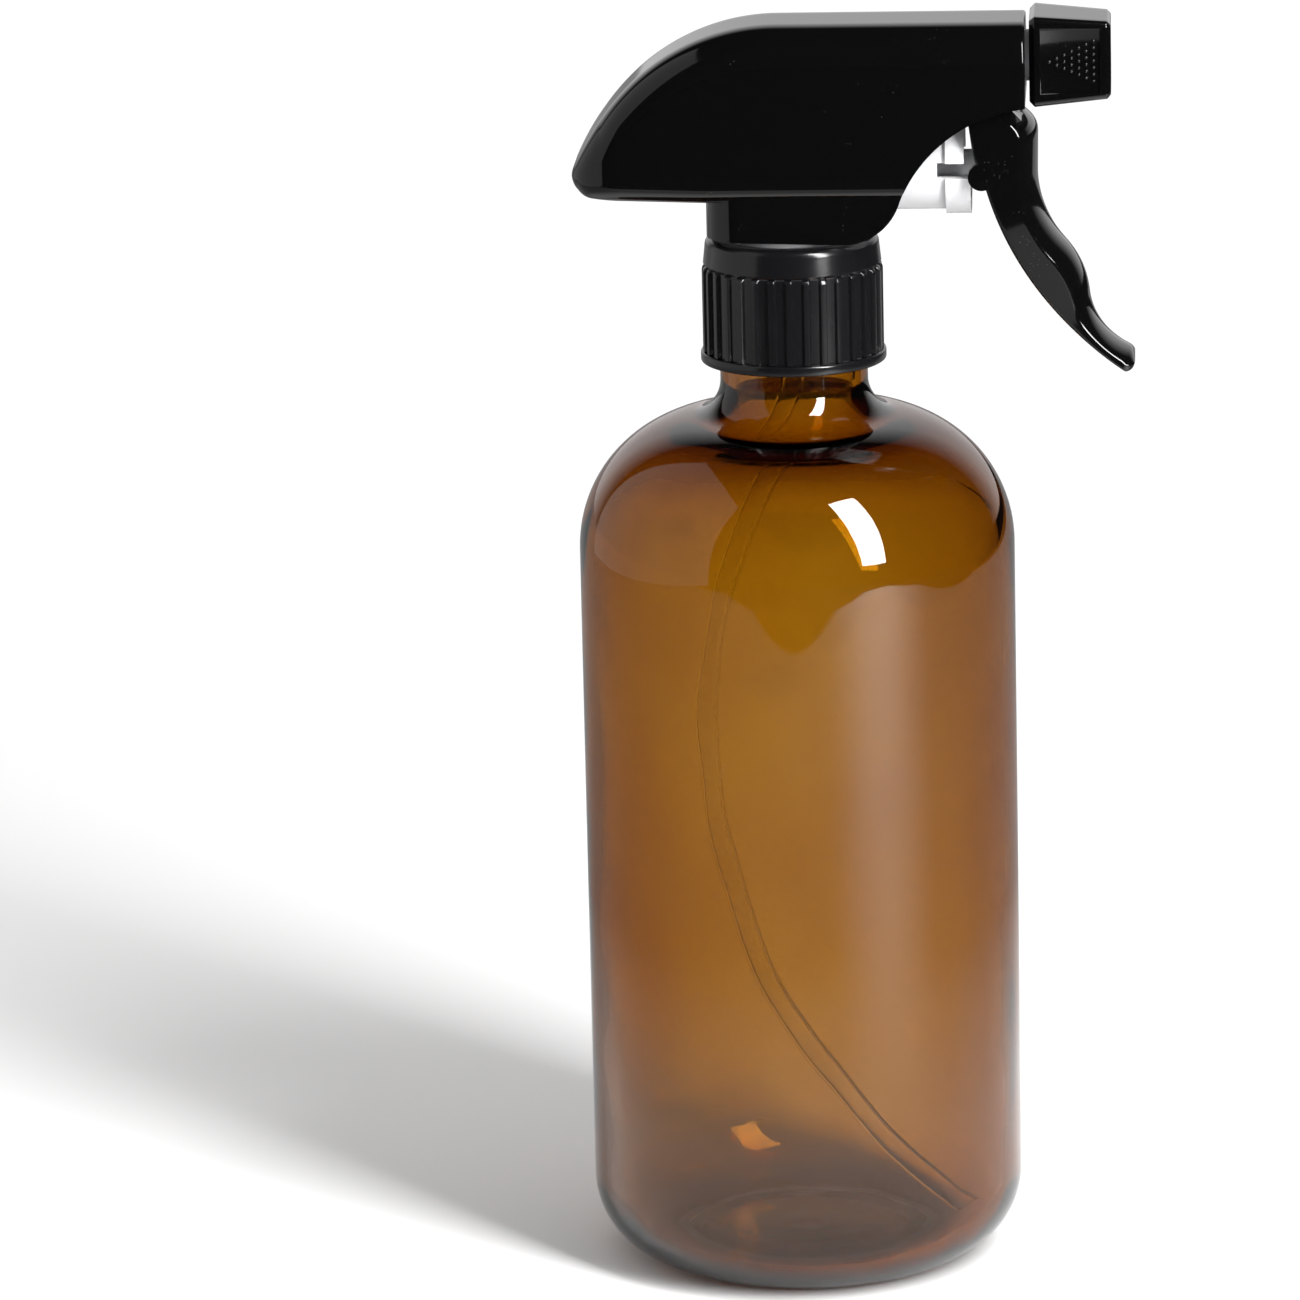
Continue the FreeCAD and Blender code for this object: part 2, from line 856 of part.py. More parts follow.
# ---------------------------------------------------------------- pump body


def make_pump_body():
    deck_bottom = size.deck_top - size.body_deck
    bead_bottom = ledge_top + 2 * size.swivel_gap
    bead_top = bead_bottom + size.bead_height
    collar_inside = size.body_collar - size.body_collar_wall
    collar = turned("body_collar", [
        Corner(collar_inside, stem_flange_top),
        Corner(size.body_collar, stem_flange_top),
        Corner(size.body_collar, bead_bottom),
        Corner(size.body_bead, bead_bottom + size.bead_slope),
        Corner(size.body_bead, bead_top),
        Corner(size.body_collar, bead_top),
        Corner(size.body_collar, size.deck_top),
        Corner(0, size.deck_top),
        Corner(0, deck_bottom),
        Corner(collar_inside, deck_bottom),
    ])
    column_height = size.barrel_axis - size.column_skirt
    column = rod("body_column", size.column_radius, column_height, (0, 0, size.column_skirt), ALONG_Z)
    half_shelf = shroud_width / 2 - size.shroud_wall - size.slide_fit
    shelf_back = size.skirt_back + size.shroud_wall + size.slide_fit
    shelf = padded("body_shelf", "XY_Plane", [
        Corner(shelf_back, half_shelf, rounding=size.shelf_corner),
        Corner(shelf_back, -half_shelf, rounding=size.shelf_corner),
        Corner(size.shelf_front, -half_shelf),
        Corner(size.shelf_front, half_shelf),
    ], size.shelf_thickness)
    place(shelf, 0, 0, size.shelf_bottom + size.shelf_thickness / 2)
    neck = rod(
        "body_neck", size.body_neck, size.shelf_bottom - size.deck_top + 2 * BITE,
        (0, 0, size.deck_top - BITE), ALONG_Z,
    )
    pump = rod("pump_barrel", size.pump_radius, size.pump_mouth, (0, 0, size.pump_axis), ALONG_X)
    mouth_start = size.pump_mouth - size.mouth_length
    mouth = rod(
        "pump_mouth", mouth_radius, size.mouth_length,
        (mouth_start, 0, size.pump_axis), ALONG_X,
    )
    barrel_start = -size.barrel_back
    barrel = rod(
        "outlet_barrel", size.barrel_radius, size.barrel_end - barrel_start,
        (barrel_start, 0, size.barrel_axis), ALONG_X,
    )
    bead = rod(
        "post_bead", size.barrel_radius + size.post_bead, size.post_bead_width,
        (size.post_bead_start, 0, size.barrel_axis), ALONG_X,
    )
    half_web = size.web_thickness / 2
    web = block(
        "body_web",
        (0, -half_web, size.pump_axis),
        (mouth_start, half_web, size.barrel_axis),
    )
    ear_back = size.pivot_place - size.ear_length / 2
    ear_front = size.pivot_place + size.ear_length / 2
    ear_bottom = size.pivot_height - size.ear_drop
    bridge_bottom = size.pivot_height + size.pin_radius + size.bridge_gap
    bridge_top = bridge_bottom + size.bridge_thickness
    bridge = block(
        "ear_bridge",
        (ear_back, -size.ear_outside, bridge_bottom),
        (ear_front, size.ear_outside, bridge_top),
    )
    near_ear = block(
        "near_ear",
        (ear_back, -size.ear_outside, ear_bottom),
        (ear_front, -size.ear_inside, bridge_top),
    )
    far_ear = block(
        "far_ear",
        (ear_back, size.ear_inside, ear_bottom),
        (ear_front, size.ear_outside, bridge_top),
    )
    outside = fused("body_outside", [
        collar, neck, column, shelf, pump, mouth, barrel, bead, web, bridge, near_ear, far_ear,
    ])
    groove_start = size.ring_centre - size.ring_groove_width / 2
    groove_root = size.barrel_radius - size.ring_groove_depth
    groove = turned("ring_groove", [
        Corner(groove_start, groove_root),
        Corner(groove_start + size.ring_groove_width, groove_root),
        Corner(groove_start + size.ring_groove_width, size.barrel_radius + BITE),
        Corner(groove_start, size.barrel_radius + BITE),
    ], axis="H_Axis")
    place(groove, 0, 0, size.barrel_axis)
    step_start = size.pump_mouth - size.mouth_step
    half_slot = size.cross_slot / 2
    slot_start = size.crossbar_place - size.stroke - size.crossbar_radius - BITE
    ear_side = size.ear_outside + BITE
    hollows = [
        rod("pump_bore", size.pump_bore, size.pump_mouth, (size.pump_back, 0, size.pump_axis), ALONG_X),
        rod("pump_port", size.port_radius, size.pump_back + BITE, (0, 0, size.pump_axis), ALONG_X),
        rod(
            "stem_hole", size.stem_radius + size.slide_fit, size.stem_top - size.column_skirt + BITE,
            (0, 0, size.column_skirt - BITE / 2), ALONG_Z,
        ),
        rod(
            "ball_chamber", size.ball_room, size.ball_room_top - size.stem_top,
            (0, 0, size.stem_top), ALONG_Z,
        ),
        rod(
            "column_duct", size.duct_radius, size.barrel_axis - size.stem_top,
            (0, 0, size.stem_top), ALONG_Z,
        ),
        rod("barrel_duct", size.barrel_duct, size.valve_seat + BITE, (0, 0, size.barrel_axis), ALONG_X),
        rod(
            "valve_chamber", size.valve_room, size.barrel_end - size.valve_seat + BITE,
            (size.valve_seat, 0, size.barrel_axis), ALONG_X,
        ),
        rod(
            "pin_hole", size.pin_radius, 2 * ear_side,
            (size.pivot_place, -ear_side, size.pivot_height), ALONG_Y,
        ),
        block(
            "crossbar_slot",
            (slot_start, -mouth_radius - BITE, size.pump_axis - half_slot),
            (size.pump_mouth + BITE, mouth_radius + BITE, size.pump_axis + half_slot),
        ),
        block(
            "mouth_step",
            (step_start, -mouth_radius - BITE, size.pump_axis - half_slot),
            (size.pump_mouth + BITE, mouth_radius + BITE, size.pump_axis + mouth_radius + BITE),
        ),
        groove,
    ]
    # Two notches beside the duct let liquid past the ball when it is lifted against their bridge.
    half_gap = size.stop_gap / 2
    stop_bottom = size.ball_room_top - BITE
    stop_top = size.ball_room_top + size.stop_rise
    hollows.append(block(
        "near_stop",
        (-half_gap, -size.stop_outside, stop_bottom),
        (half_gap, -size.stop_inside, stop_top),
    ))
    hollows.append(block(
        "far_stop",
        (-half_gap, size.stop_inside, stop_bottom),
        (half_gap, size.stop_outside, stop_top),
    ))
    body = cut("pump_body", outside, fused("body_hollows", hollows))
    return keep(body, "pump_body", z=rim)


# ---------------------------------------------------------------- piston, rod and springs


def make_piston():
    seal = size.pump_bore - size.slide_fit
    face_back = size.piston_front - size.piston_face
    corners = [
        Corner(size.piston_back, size.piston_inside),
        Corner(size.piston_back, seal),
        Corner(size.piston_back + size.lip_width, seal),
        Corner(size.piston_back + 2 * size.lip_width, size.piston_skirt),
        Corner(size.piston_front - 2 * size.lip_width, size.piston_skirt),
        Corner(size.piston_front - size.lip_width, seal),
        Corner(size.piston_front, seal),
        Corner(size.piston_front, size.snap_radius),
        Corner(face_back, size.snap_radius),
        Corner(face_back, size.piston_inside),
    ]
    return keep(turned("piston", corners, axis="H_Axis"), "piston", z=rim + size.pump_axis)


def make_piston_rod():
    face_back = size.piston_front - size.piston_face
    barb = size.snap_radius + size.snap_barb
    turned_part = turned("rod_turned", [
        Corner(face_back - size.snap_length, 0),
        Corner(face_back - size.snap_length, size.snap_radius - size.snap_taper),
        Corner(face_back, barb),
        Corner(face_back, size.snap_radius),
        Corner(size.piston_front, size.snap_radius),
        Corner(size.piston_front, size.rod_radius),
        Corner(size.rod_end, size.rod_radius, rounding=size.rod_edge),
        Corner(size.rod_end, 0),
    ], axis="H_Axis")
    bar = rod(
        "crossbar", size.crossbar_radius, 2 * crossbar_reach,
        (size.crossbar_place, -crossbar_reach, 0), ALONG_Y,
    )
    return keep(fused("piston_rod", [turned_part, bar]), "piston_rod", z=rim + size.pump_axis)


def make_return_spring():
    start = size.pump_back + size.spring_gap
    length = size.piston_front - size.piston_face - size.spring_slack - start
    wound = coil(size.spring_radius, size.spring_wire, size.spring_turns, length)
    first_turn = start + size.spring_wire / 2
    return keep(solid("return_spring", wound), "return_spring", x=first_turn, z=rim + size.pump_axis)


def make_outlet_spring():
    start = outlet_centre + size.outlet_ball_radius + size.spring_slack
    length = size.spinner_back - size.spring_slack - start
    wound = coil(size.valve_spring_radius, size.valve_spring_wire, size.valve_spring_turns, length)
    first_turn = start + size.valve_spring_wire / 2
    return keep(solid("outlet_spring", wound), "outlet_spring", x=first_turn, z=rim + size.barrel_axis)


# ---------------------------------------------------------------- nozzle end


def make_spinner():
    radius = size.valve_room - size.slide_fit
    middle = turned("spinner_turned", [
        Corner(size.spinner_back, 0),
        Corner(size.spinner_back, radius),
        Corner(size.spinner_front, radius),
        Corner(size.spinner_front, size.whirl_radius),
        Corner(size.spinner_front - size.whirl_depth, size.whirl_radius),
        Corner(size.spinner_front - size.whirl_depth, 0),
    ], axis="H_Axis")
    half = size.flute_width / 2
    flutes = []
    for sign, name in ((-1, "near_flute"), (1, "far_flute")):
        middle_of_flute = sign * radius
        flutes.append(block(
            name,
            (size.spinner_back - BITE, middle_of_flute - size.flute_depth, -half),
            (size.spinner_front + BITE, middle_of_flute + size.flute_depth, half),
        ))
    whirl = block(
        "whirl_slot",
        (size.spinner_front - size.whirl_depth, -radius, size.whirl_radius - size.whirl_slot),
        (size.spinner_front + BITE, radius, size.whirl_radius),
    )
    spinner = cut("spinner", middle, fused("spinner_cuts", flutes + [whirl]))
    return keep(spinner, "spinner", z=rim + size.barrel_axis)


def make_seal_ring():
    ring = document.addObject("Part::Torus", "nozzle_seal")
    bind(ring, "Radius1", size.barrel_radius + size.nozzle_fit / 2 - size.ring_section)
    bind(ring, "Radius2", size.ring_section)
    ring.Placement.Rotation = Rotation(Vector(0, 0, 1), ALONG_X)
    return keep(ring, "nozzle_seal", x=size.ring_centre, z=rim + size.barrel_axis)


def square(name, half, at):
    """A square outline across the nozzle's axis, its centre on the axis."""
    body = new_body(name)
    sketch = draw(body, "YZ_Plane", [
        Corner(-half, -half, rounding=size.nozzle_edge),
        Corner(half, -half, rounding=size.nozzle_edge),
        Corner(half, half, rounding=size.nozzle_edge),
        Corner(-half, half, rounding=size.nozzle_edge),
    ])
    bind(sketch, "AttachmentOffset.Base.z", at)
    return body, sketch


def make_nozzle():
    body, back = square("nozzle_outside", size.nozzle_back_half, size.nozzle_back)
    front = draw(body, "YZ_Plane", [
        Corner(-size.nozzle_front_half, -size.nozzle_front_half, rounding=size.nozzle_edge),
        Corner(size.nozzle_front_half, -size.nozzle_front_half, rounding=size.nozzle_edge),
        Corner(size.nozzle_front_half, size.nozzle_front_half, rounding=size.nozzle_edge),
        Corner(-size.nozzle_front_half, size.nozzle_front_half, rounding=size.nozzle_edge),
    ])
    bind(front, "AttachmentOffset.Base.z", size.nozzle_front)
    loft = body.newObject("PartDesign::AdditiveLoft", "nozzle_loft")
    loft.Profile = back
    loft.Sections = [front]
    loft.Ruled = True
    bore = size.barrel_radius + size.nozzle_fit
    bead_room = size.barrel_radius + size.post_bead + size.slide_fit + size.bead_slack
    bead_end = size.post_bead_start + size.post_bead_width
    hollow = turned("nozzle_hollow", [
        Corner(size.nozzle_back - BITE, 0),
        Corner(size.nozzle_back - BITE, size.nozzle_mouth),
        Corner(size.nozzle_back + size.nozzle_mouth_depth, size.nozzle_mouth),
        Corner(size.nozzle_back + size.nozzle_mouth_depth, bore),
        Corner(size.post_bead_start - size.bead_end_slack, bore),
        Corner(size.post_bead_start - size.bead_end_slack, bead_room),
        Corner(bead_end + size.bead_end_slack, bead_room),
        Corner(bead_end + size.bead_end_slack, bore),
        Corner(size.nozzle_floor, bore),
        Corner(size.nozzle_floor, size.nozzle_hole),
        Corner(size.insert_back, size.nozzle_hole),
        Corner(size.insert_back, size.insert_radius),
        Corner(size.insert_front, size.insert_radius),
        Corner(size.nozzle_front + BITE, size.dish_radius),
        Corner(size.nozzle_front + BITE, 0),
    ], axis="H_Axis")
    return keep(cut("nozzle", body, hollow), "nozzle", z=rim + size.barrel_axis)


def make_orifice():
    rim_radius = size.insert_radius - size.insert_fit
    back = size.insert_back + size.insert_fit
    insert = turned("orifice_insert", [
        Corner(size.insert_back + size.orifice_land, size.orifice_radius),
        Corner(back, size.orifice_back_radius),
        Corner(back, rim_radius),
        Corner(size.insert_front, rim_radius),
        Corner(size.insert_front, size.orifice_front_radius),
        Corner(size.insert_front - size.orifice_front_depth, size.orifice_radius),
    ], axis="H_Axis")
    return keep(insert, "orifice_insert", z=rim + size.barrel_axis)


# ---------------------------------------------------------------- trigger

PAST = 3.0  # how far an outline that only trims runs on past what it trims


def finger_outline(inset):
    """The trigger's side outline from its brow down the front to the toe and up the back."""
    wall = as_size(inset)
    return [
        Corner(size.shoulder_place - wall, size.shoulder_height - wall),
        Corner(size.cheek_back, size.shoulder_height - wall),
        Corner(size.cheek_back, size.bar_boss_height),
        Corner(size.back_place, size.back_height, bend=size.back_curve),
        Corner(size.heel_place, size.heel_height, bend=size.toe_curve),
        Corner(size.toe_place, size.toe_height, bend=-size.lower_curve),
        Corner(size.ridge_low_place, size.ridge_low_height, bend=size.ridge_curve),
        Corner(size.ridge_top_place, size.ridge_top_height, bend=-size.grip_curve),
        Corner(size.grip_place, size.grip_height),
        Corner(size.brow_place, size.brow_height),
    ]


def make_trigger():
    side = padded("trigger_side", "XZ_Plane", finger_outline(0), yoke_width)
    pivot_boss = rod(
        "pivot_boss", size.pivot_boss, yoke_width,
        (size.pivot_place, -yoke_width / 2, size.pivot_height), ALONG_Y,
    )
    neck = padded("trigger_neck", "XZ_Plane", [
        Corner(size.pivot_place - size.pivot_boss, size.pivot_height),
        Corner(size.cheek_back, size.shoulder_height - BITE),
        Corner(size.shoulder_place, size.shoulder_height - BITE),
        Corner(size.pivot_place + size.pivot_boss, size.pivot_height),
    ], yoke_width)
    bar_boss = rod(
        "bar_boss", size.bar_boss, yoke_width,
        (size.crossbar_place, -yoke_width / 2, size.bar_boss_height), ALONG_Y,
    )
    outside = fused("trigger_blank", [side, pivot_boss, neck, bar_boss])
    half_yoke = yoke_width / 2
    half_finger = size.finger_width / 2
    half_tip = size.tip_width / 2
    top = size.pivot_height + size.pivot_boss + BITE
    bottom = size.heel_height - PAST
    plan = padded("trigger_front_view", "YZ_Plane", [
        Corner(-half_yoke, top),
        Corner(-half_yoke, size.yoke_bottom),
        Corner(-half_finger, size.waist_height),
        Corner(-half_tip, bottom, rounding=size.tip_corner),
        Corner(half_tip, bottom, rounding=size.tip_corner),
        Corner(half_finger, size.waist_height),
        Corner(half_yoke, size.yoke_bottom),
        Corner(half_yoke, top),
    ], 2 * size.heel_place + 2 * PAST)
    shaped = shared("trigger_shaped", outside, plan)
    # The channel between the cheeks is open at the back and at the top.
    wall = size.trigger_wall
    channel_side = padded("channel_side", "XZ_Plane", [
        Corner(size.cheek_back - PAST, top + PAST),
        Corner(size.cheek_back - PAST, size.bar_boss_height),
        Corner(size.back_place - PAST, size.back_height - wall, bend=size.back_curve),
        Corner(size.heel_place - 2 * wall, size.heel_height + 2 * wall),
        Corner(size.ridge_low_place - wall, size.ridge_low_height, bend=size.ridge_curve - wall),
        Corner(size.ridge_top_place - wall, size.ridge_top_height, bend=-size.grip_curve - wall),
        Corner(size.grip_place - wall, size.grip_height),
        Corner(size.brow_place - wall, size.brow_height - wall / 2),
        Corner(size.shoulder_place - wall, size.shoulder_height - wall / 2),
        Corner(size.shoulder_place - wall, top + PAST),
    ], yoke_width)
    cheek = size.cheek_thickness
    channel_plan = padded("channel_front_view", "YZ_Plane", [
        Corner(cheek - half_yoke, top + 2 * PAST),
        Corner(cheek - half_yoke, size.yoke_bottom),
        Corner(cheek - half_finger, size.waist_height),
        Corner(cheek - half_tip, bottom),
        Corner(half_tip - cheek, bottom),
        Corner(half_finger - cheek, size.waist_height),
        Corner(half_yoke - cheek, size.yoke_bottom),
        Corner(half_yoke - cheek, top + 2 * PAST),
    ], 2 * size.heel_place + 2 * PAST)
    channel = shared("trigger_channel", channel_side, channel_plan)
    pin_hole = rod(
        "trigger_pin_hole", size.pin_radius + size.slide_fit, yoke_width + 2 * BITE,
        (size.pivot_place, -half_yoke - BITE, size.pivot_height), ALONG_Y,
    )
    # Blind slots inside the cheeks let the crossbar rise as the trigger swings.
    drop = size.pivot_height - size.pump_axis
    offset = size.pivot_place - size.crossbar_place
    start = root(offset * offset + drop * drop)
    end = root((offset + size.stroke) * (offset + size.stroke) + drop * drop)
    slot_width = size.crossbar_radius + size.bar_slot_clearance
    reach = half_yoke - cheek + size.bar_slot_depth
    slots = [
        rod("bar_slot_top", slot_width, 2 * reach, (size.crossbar_place, -reach, size.pump_axis), ALONG_Y),
        rod(
            "bar_slot_low", slot_width, 2 * reach,
            (size.crossbar_place, -reach, size.pump_axis - (end - start)), ALONG_Y,
        ),
        block(
            "bar_slot_middle",
            (size.crossbar_place - slot_width, -reach, size.pump_axis - (end - start)),
            (size.crossbar_place + slot_width, reach, size.pump_axis),
        ),
    ]
    trigger = cut("trigger", shaped, fused("trigger_hollows", [channel, pin_hole] + slots))
    return keep(trigger, "trigger", z=rim)


def make_pivot_pin():
    half = yoke_width / 2 - size.swivel_gap / 2
    start = (size.pivot_place, -half, rim + size.pivot_height)
    pin = rod("pivot_pin", size.pin_radius, 2 * half, start, ALONG_Y)
    pin.Label = "pivot_pin"
    nodes.append(pin)
    return pin


# ---------------------------------------------------------------- shroud


def next_centre(start, centre, bend, next_bend):
    """The centre of an arc that carries on without a kink from an arc round centre."""
    share = next_bend / bend
    return start[0] + (centre[0] - start[0]) * share, start[1] + (centre[1] - start[1]) * share


def height_on(centre, bend, x):
    """The height of the upper half of an arc at x."""
    return centre[1] + root(bend * bend - (x - centre[0]) * (x - centre[0]))


crown_centre = (size.crown_place, size.shroud_top - size.crown_curve)
nape = (size.nape_place, height_on(crown_centre, size.crown_curve, size.nape_place))
nape_centre = next_centre(nape, crown_centre, size.crown_curve, size.nape_curve)
tail = (size.tail_place, height_on(nape_centre, size.nape_curve, size.tail_place))
tail_centre = next_centre(tail, nape_centre, size.nape_curve, size.tail_curve)


def shroud_side(name):
    """The shroud's side outline, drawn from the front of its top back over the crown."""
    body = new_body(name)
    return draw(body, "XZ_Plane", [
        Corner(size.shroud_front, size.shroud_top),
        Corner(size.crown_place, size.shroud_top, bend=size.crown_curve),
        Corner(*nape, bend=size.nape_curve),
        Corner(*tail, bend=size.tail_curve),
        Corner(tail_centre[0], tail_centre[1] - size.tail_curve),
        Corner(size.skirt_back, size.ledge_height),
        Corner(size.skirt_back, size.skirt_bottom),
        Corner(size.jaw_place, size.jaw_height, bend=size.jaw_curve),
        Corner(size.throat_place, size.throat_height, bend=-size.throat_curve),
        Corner(size.shroud_front, size.shroud_lip),
    ])


def shroud_plan(name):
    """The shroud's outline from above: straight sides and a rounded tail."""
    body = new_body(name)
    half = shroud_width / 2
    return draw(body, "XY_Plane", [
        Corner(size.shroud_front, half),
        Corner(-size.plan_tail, half, rounding=size.plan_rounding),
        Corner(-size.plan_tail, -half, rounding=size.plan_rounding),
        Corner(size.shroud_front, -half),
    ])


def inset_of(name, outline, distance):
    """The outline moved inwards by a distance."""
    inner = document.addObject("Part::Offset2D", name)
    inner.Source = outline
    bind(inner, "Value", -as_size(distance))
    return inner


def extruded(name, outline, direction, length):
    """A solid from an outline, the same distance each side of its plane."""
    item = document.addObject("Part::Extrusion", name)
    item.Base = outline
    item.DirMode = "Custom"
    item.Dir = direction
    item.Solid = True
    item.Symmetric = True
    bind(item, "LengthFwd", length)
    return item


def rounded_crown(name, blank, radius):
    """A PartDesign fillet along both long edges of the shroud's top, from the front to the tail."""
    document.recompute()
    front = blank.Shape.BoundBox.XMax
    tail_bottom = tail[1].value - size.shroud_wall.value
    edges = []
    for number, edge in enumerate(blank.Shape.Edges, start=1):
        box = edge.BoundBox
        one_side = box.YMin > 0 or box.YMax < 0
        if one_side and box.ZMin > tail_bottom and box.XMin < front - BITE:
            edges.append(f"Edge{number}")
    body = new_body(name)
    body.BaseFeature = blank
    fillet = body.newObject("PartDesign::Fillet", name + "_fillet")
    base = [item for item in body.Group if item.TypeId == "PartDesign::FeatureBase"][0]
    fillet.Base = (base, edges)
    bind(fillet, "Radius", radius)
    return body


def make_shroud():
    side = shroud_side("shroud_side")
    plan = shroud_plan("shroud_plan")
    height = 3 * size.shroud_top
    outside = shared(
        "shroud_outside",
        extruded("shroud_block", side, ALONG_Y, shroud_width),
        extruded("shroud_plan_block", plan, ALONG_Z, height),
    )
    rounded = rounded_crown("shroud_rounded", outside, size.crown_rounding)
    inner_side = inset_of("shroud_inner_side", side, size.shroud_wall)
    inner_plan = inset_of("shroud_inner_plan", plan, size.shroud_wall)
    inside_width = shroud_width - 2 * size.shroud_wall
    inside = shared(
        "shroud_inside",
        extruded("shroud_hollow_block", inner_side, ALONG_Y, inside_width),
        extruded("shroud_hollow_plan", inner_plan, ALONG_Z, height),
    )
    hollow = rounded_crown("shroud_hollow", inside, size.crown_rounding - size.shroud_wall)
    back = size.skirt_back + size.shroud_wall
    front_wall = size.shroud_front - size.shroud_wall
    opening = padded("shroud_opening", "XZ_Plane", [
        Corner(back, 0),
        Corner(size.shroud_front + PAST, 0),
        Corner(size.shroud_front + PAST, size.shroud_lip),
        Corner(front_wall, size.shroud_lip),
        Corner(front_wall, size.shroud_lip + PAST),
        Corner(back, size.ledge_height + PAST),
    ], inside_width)
    hole_radius = size.barrel_radius + size.hole_clearance
    hole = rod(
        "shroud_hole", hole_radius, 4 * size.shroud_wall,
        (size.shroud_front - 2 * size.shroud_wall, 0, size.barrel_axis), ALONG_X,
    )
    return keep(cut("shroud", rounded, fused("shroud_hollows", [hollow, opening, hole])), "shroud", z=rim)


# ---------------------------------------------------------------- build, check and write

make_bottle()
make_collar()
make_gasket()
make_stem()
make_vent_valve()
make_dip_tube()
make_inlet_ball()
make_outlet_ball()
make_pump_body()
make_piston()
make_piston_rod()
make_return_spring()
make_outlet_spring()
make_spinner()
make_seal_ring()
make_nozzle()
make_orifice()
make_trigger()
make_pivot_pin()
make_shroud()
document.recompute()

faults = [item.Name for item in document.Objects if "Invalid" in item.State or "Error" in item.State]
if faults:
    raise RuntimeError(f"failed to rebuild: {faults}")
for item in nodes:
    if item.Shape.isNull() or not item.Shape.isValid():
        raise RuntimeError(f"{item.Label} has no valid shape")
    print(f"{item.Label}: {len(item.Shape.Solids)} solid, {item.Shape.Volume:.1f} mm3")

os.makedirs("parts", exist_ok=True)
for item in nodes:
    item.Shape.exportStep(f"parts/{item.Label}.step")
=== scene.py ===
"""The looks of an amber glass trigger spray bottle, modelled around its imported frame.

Lengths are in metres, in the frame's own axes: +Z up, the sprayer pointing along +X.
"""
from __future__ import annotations

import logging
import math
from dataclasses import dataclass
from enum import Enum
from typing import Callable, Iterable, Sequence, Union

import bpy
from mathutils import Matrix, Vector, noise

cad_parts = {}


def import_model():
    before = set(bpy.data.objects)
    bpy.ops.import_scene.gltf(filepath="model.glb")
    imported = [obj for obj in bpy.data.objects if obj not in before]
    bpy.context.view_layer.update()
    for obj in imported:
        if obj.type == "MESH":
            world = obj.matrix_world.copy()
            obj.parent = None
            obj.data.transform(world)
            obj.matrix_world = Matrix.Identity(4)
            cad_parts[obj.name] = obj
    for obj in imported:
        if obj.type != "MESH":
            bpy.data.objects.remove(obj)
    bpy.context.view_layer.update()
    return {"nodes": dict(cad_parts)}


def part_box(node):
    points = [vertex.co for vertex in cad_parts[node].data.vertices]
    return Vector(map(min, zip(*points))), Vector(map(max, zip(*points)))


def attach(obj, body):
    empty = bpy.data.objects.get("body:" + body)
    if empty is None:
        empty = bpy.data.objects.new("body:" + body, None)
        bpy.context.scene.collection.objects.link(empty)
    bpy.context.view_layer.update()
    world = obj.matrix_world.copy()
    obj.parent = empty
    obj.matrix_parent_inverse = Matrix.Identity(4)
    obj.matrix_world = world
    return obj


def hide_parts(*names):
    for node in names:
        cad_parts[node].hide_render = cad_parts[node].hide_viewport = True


LOG = logging.getLogger("spray_bottle")
MM = 0.001
FULL_TURN = 2 * math.pi
TINY = 1e-6
MERGE_GAP = 0.002 * MM
SMOOTH_ANGLE = 32.0

Point2 = tuple[float, float]
Colour = tuple[float, float, float]
Socket = Union[float, bpy.types.NodeSocket]


class Run(Enum):
    """Which way a prism runs from its outline."""

    ACROSS = (0.0, 1.0, 0.0)
    UP = (0.0, 0.0, 1.0)

    def place(self, point: Point2, along: float) -> Vector:
        """Where an outline's point lies.

        Args:
            point: The outline's point.
            along: How far along the run it is.

        Returns:
            The point in the frame.
        """
        if self is Run.ACROSS:
            return Vector((point[0], along, point[1]))
        return Vector((point[0], point[1], along))


class Join(Enum):
    """What a tool solid does to the piece that it meets."""

    ADD = "UNION"
    CUT = "DIFFERENCE"


# ---------------------------------------------------------------- workshop


def deselect() -> None:
    """Leaves edit mode and selects nothing."""
    if bpy.context.object is not None and bpy.context.object.mode != "OBJECT":
        bpy.ops.object.mode_set(mode="OBJECT")
    bpy.ops.object.select_all(action="DESELECT")


def pick(piece: bpy.types.Object) -> None:
    """Makes one object the only selected and the active one.

    Args:
        piece: The object.
    """
    deselect()
    piece.select_set(True)
    bpy.context.view_layer.objects.active = piece


def clamped(value: float) -> float:
    """A value kept between nought and one."""
    return max(0.0, min(1.0, value))


def scaled(outline: Iterable[Point2], base: Point2 = (0.0, 0.0)) -> list[Point2]:
    """An outline given in millimetres, as metres from a base."""
    return [(base[0] + first * MM, base[1] + second * MM) for first, second in outline]


def direction(azimuth: float, elevation: float) -> Vector:
    """The direction in which something stands from the object.

    Args:
        azimuth: How far round from -Y towards +X it stands, in degrees.
        elevation: How far above the table it stands, in degrees.

    Returns:
        The direction, one unit long.
    """
    around, above = math.radians(azimuth), math.radians(elevation)
    level = math.cos(above)
    return Vector((math.sin(around) * level, -math.cos(around) * level, math.sin(above)))


def pushed_out(place: Vector, distance: float) -> Vector:
    """A point moved away from the vertical axis.

    Args:
        place: Where the point is.
        distance: How far it moves.

    Returns:
        Its new place.
    """
    radius = math.hypot(place.x, place.y)
    grown = (radius + distance) / radius
    return Vector((place.x * grown, place.y * grown, place.z))


def arc(centre: Point2, radius: float, start: float, end: float, steps: int) -> list[Point2]:
    """Points along a circular arc.

    Args:
        centre: The arc's centre.
        radius: Its radius.
        start: The angle of the first point, in degrees.
        end: The angle of the last point, in degrees.
        steps: How many stretches the arc is cut into.

    Returns:
        The points from start to end, both included.
    """
    angles = [math.radians(start + (end - start) * i / steps) for i in range(steps + 1)]
    return [(centre[0] + radius * math.cos(a), centre[1] + radius * math.sin(a)) for a in angles]


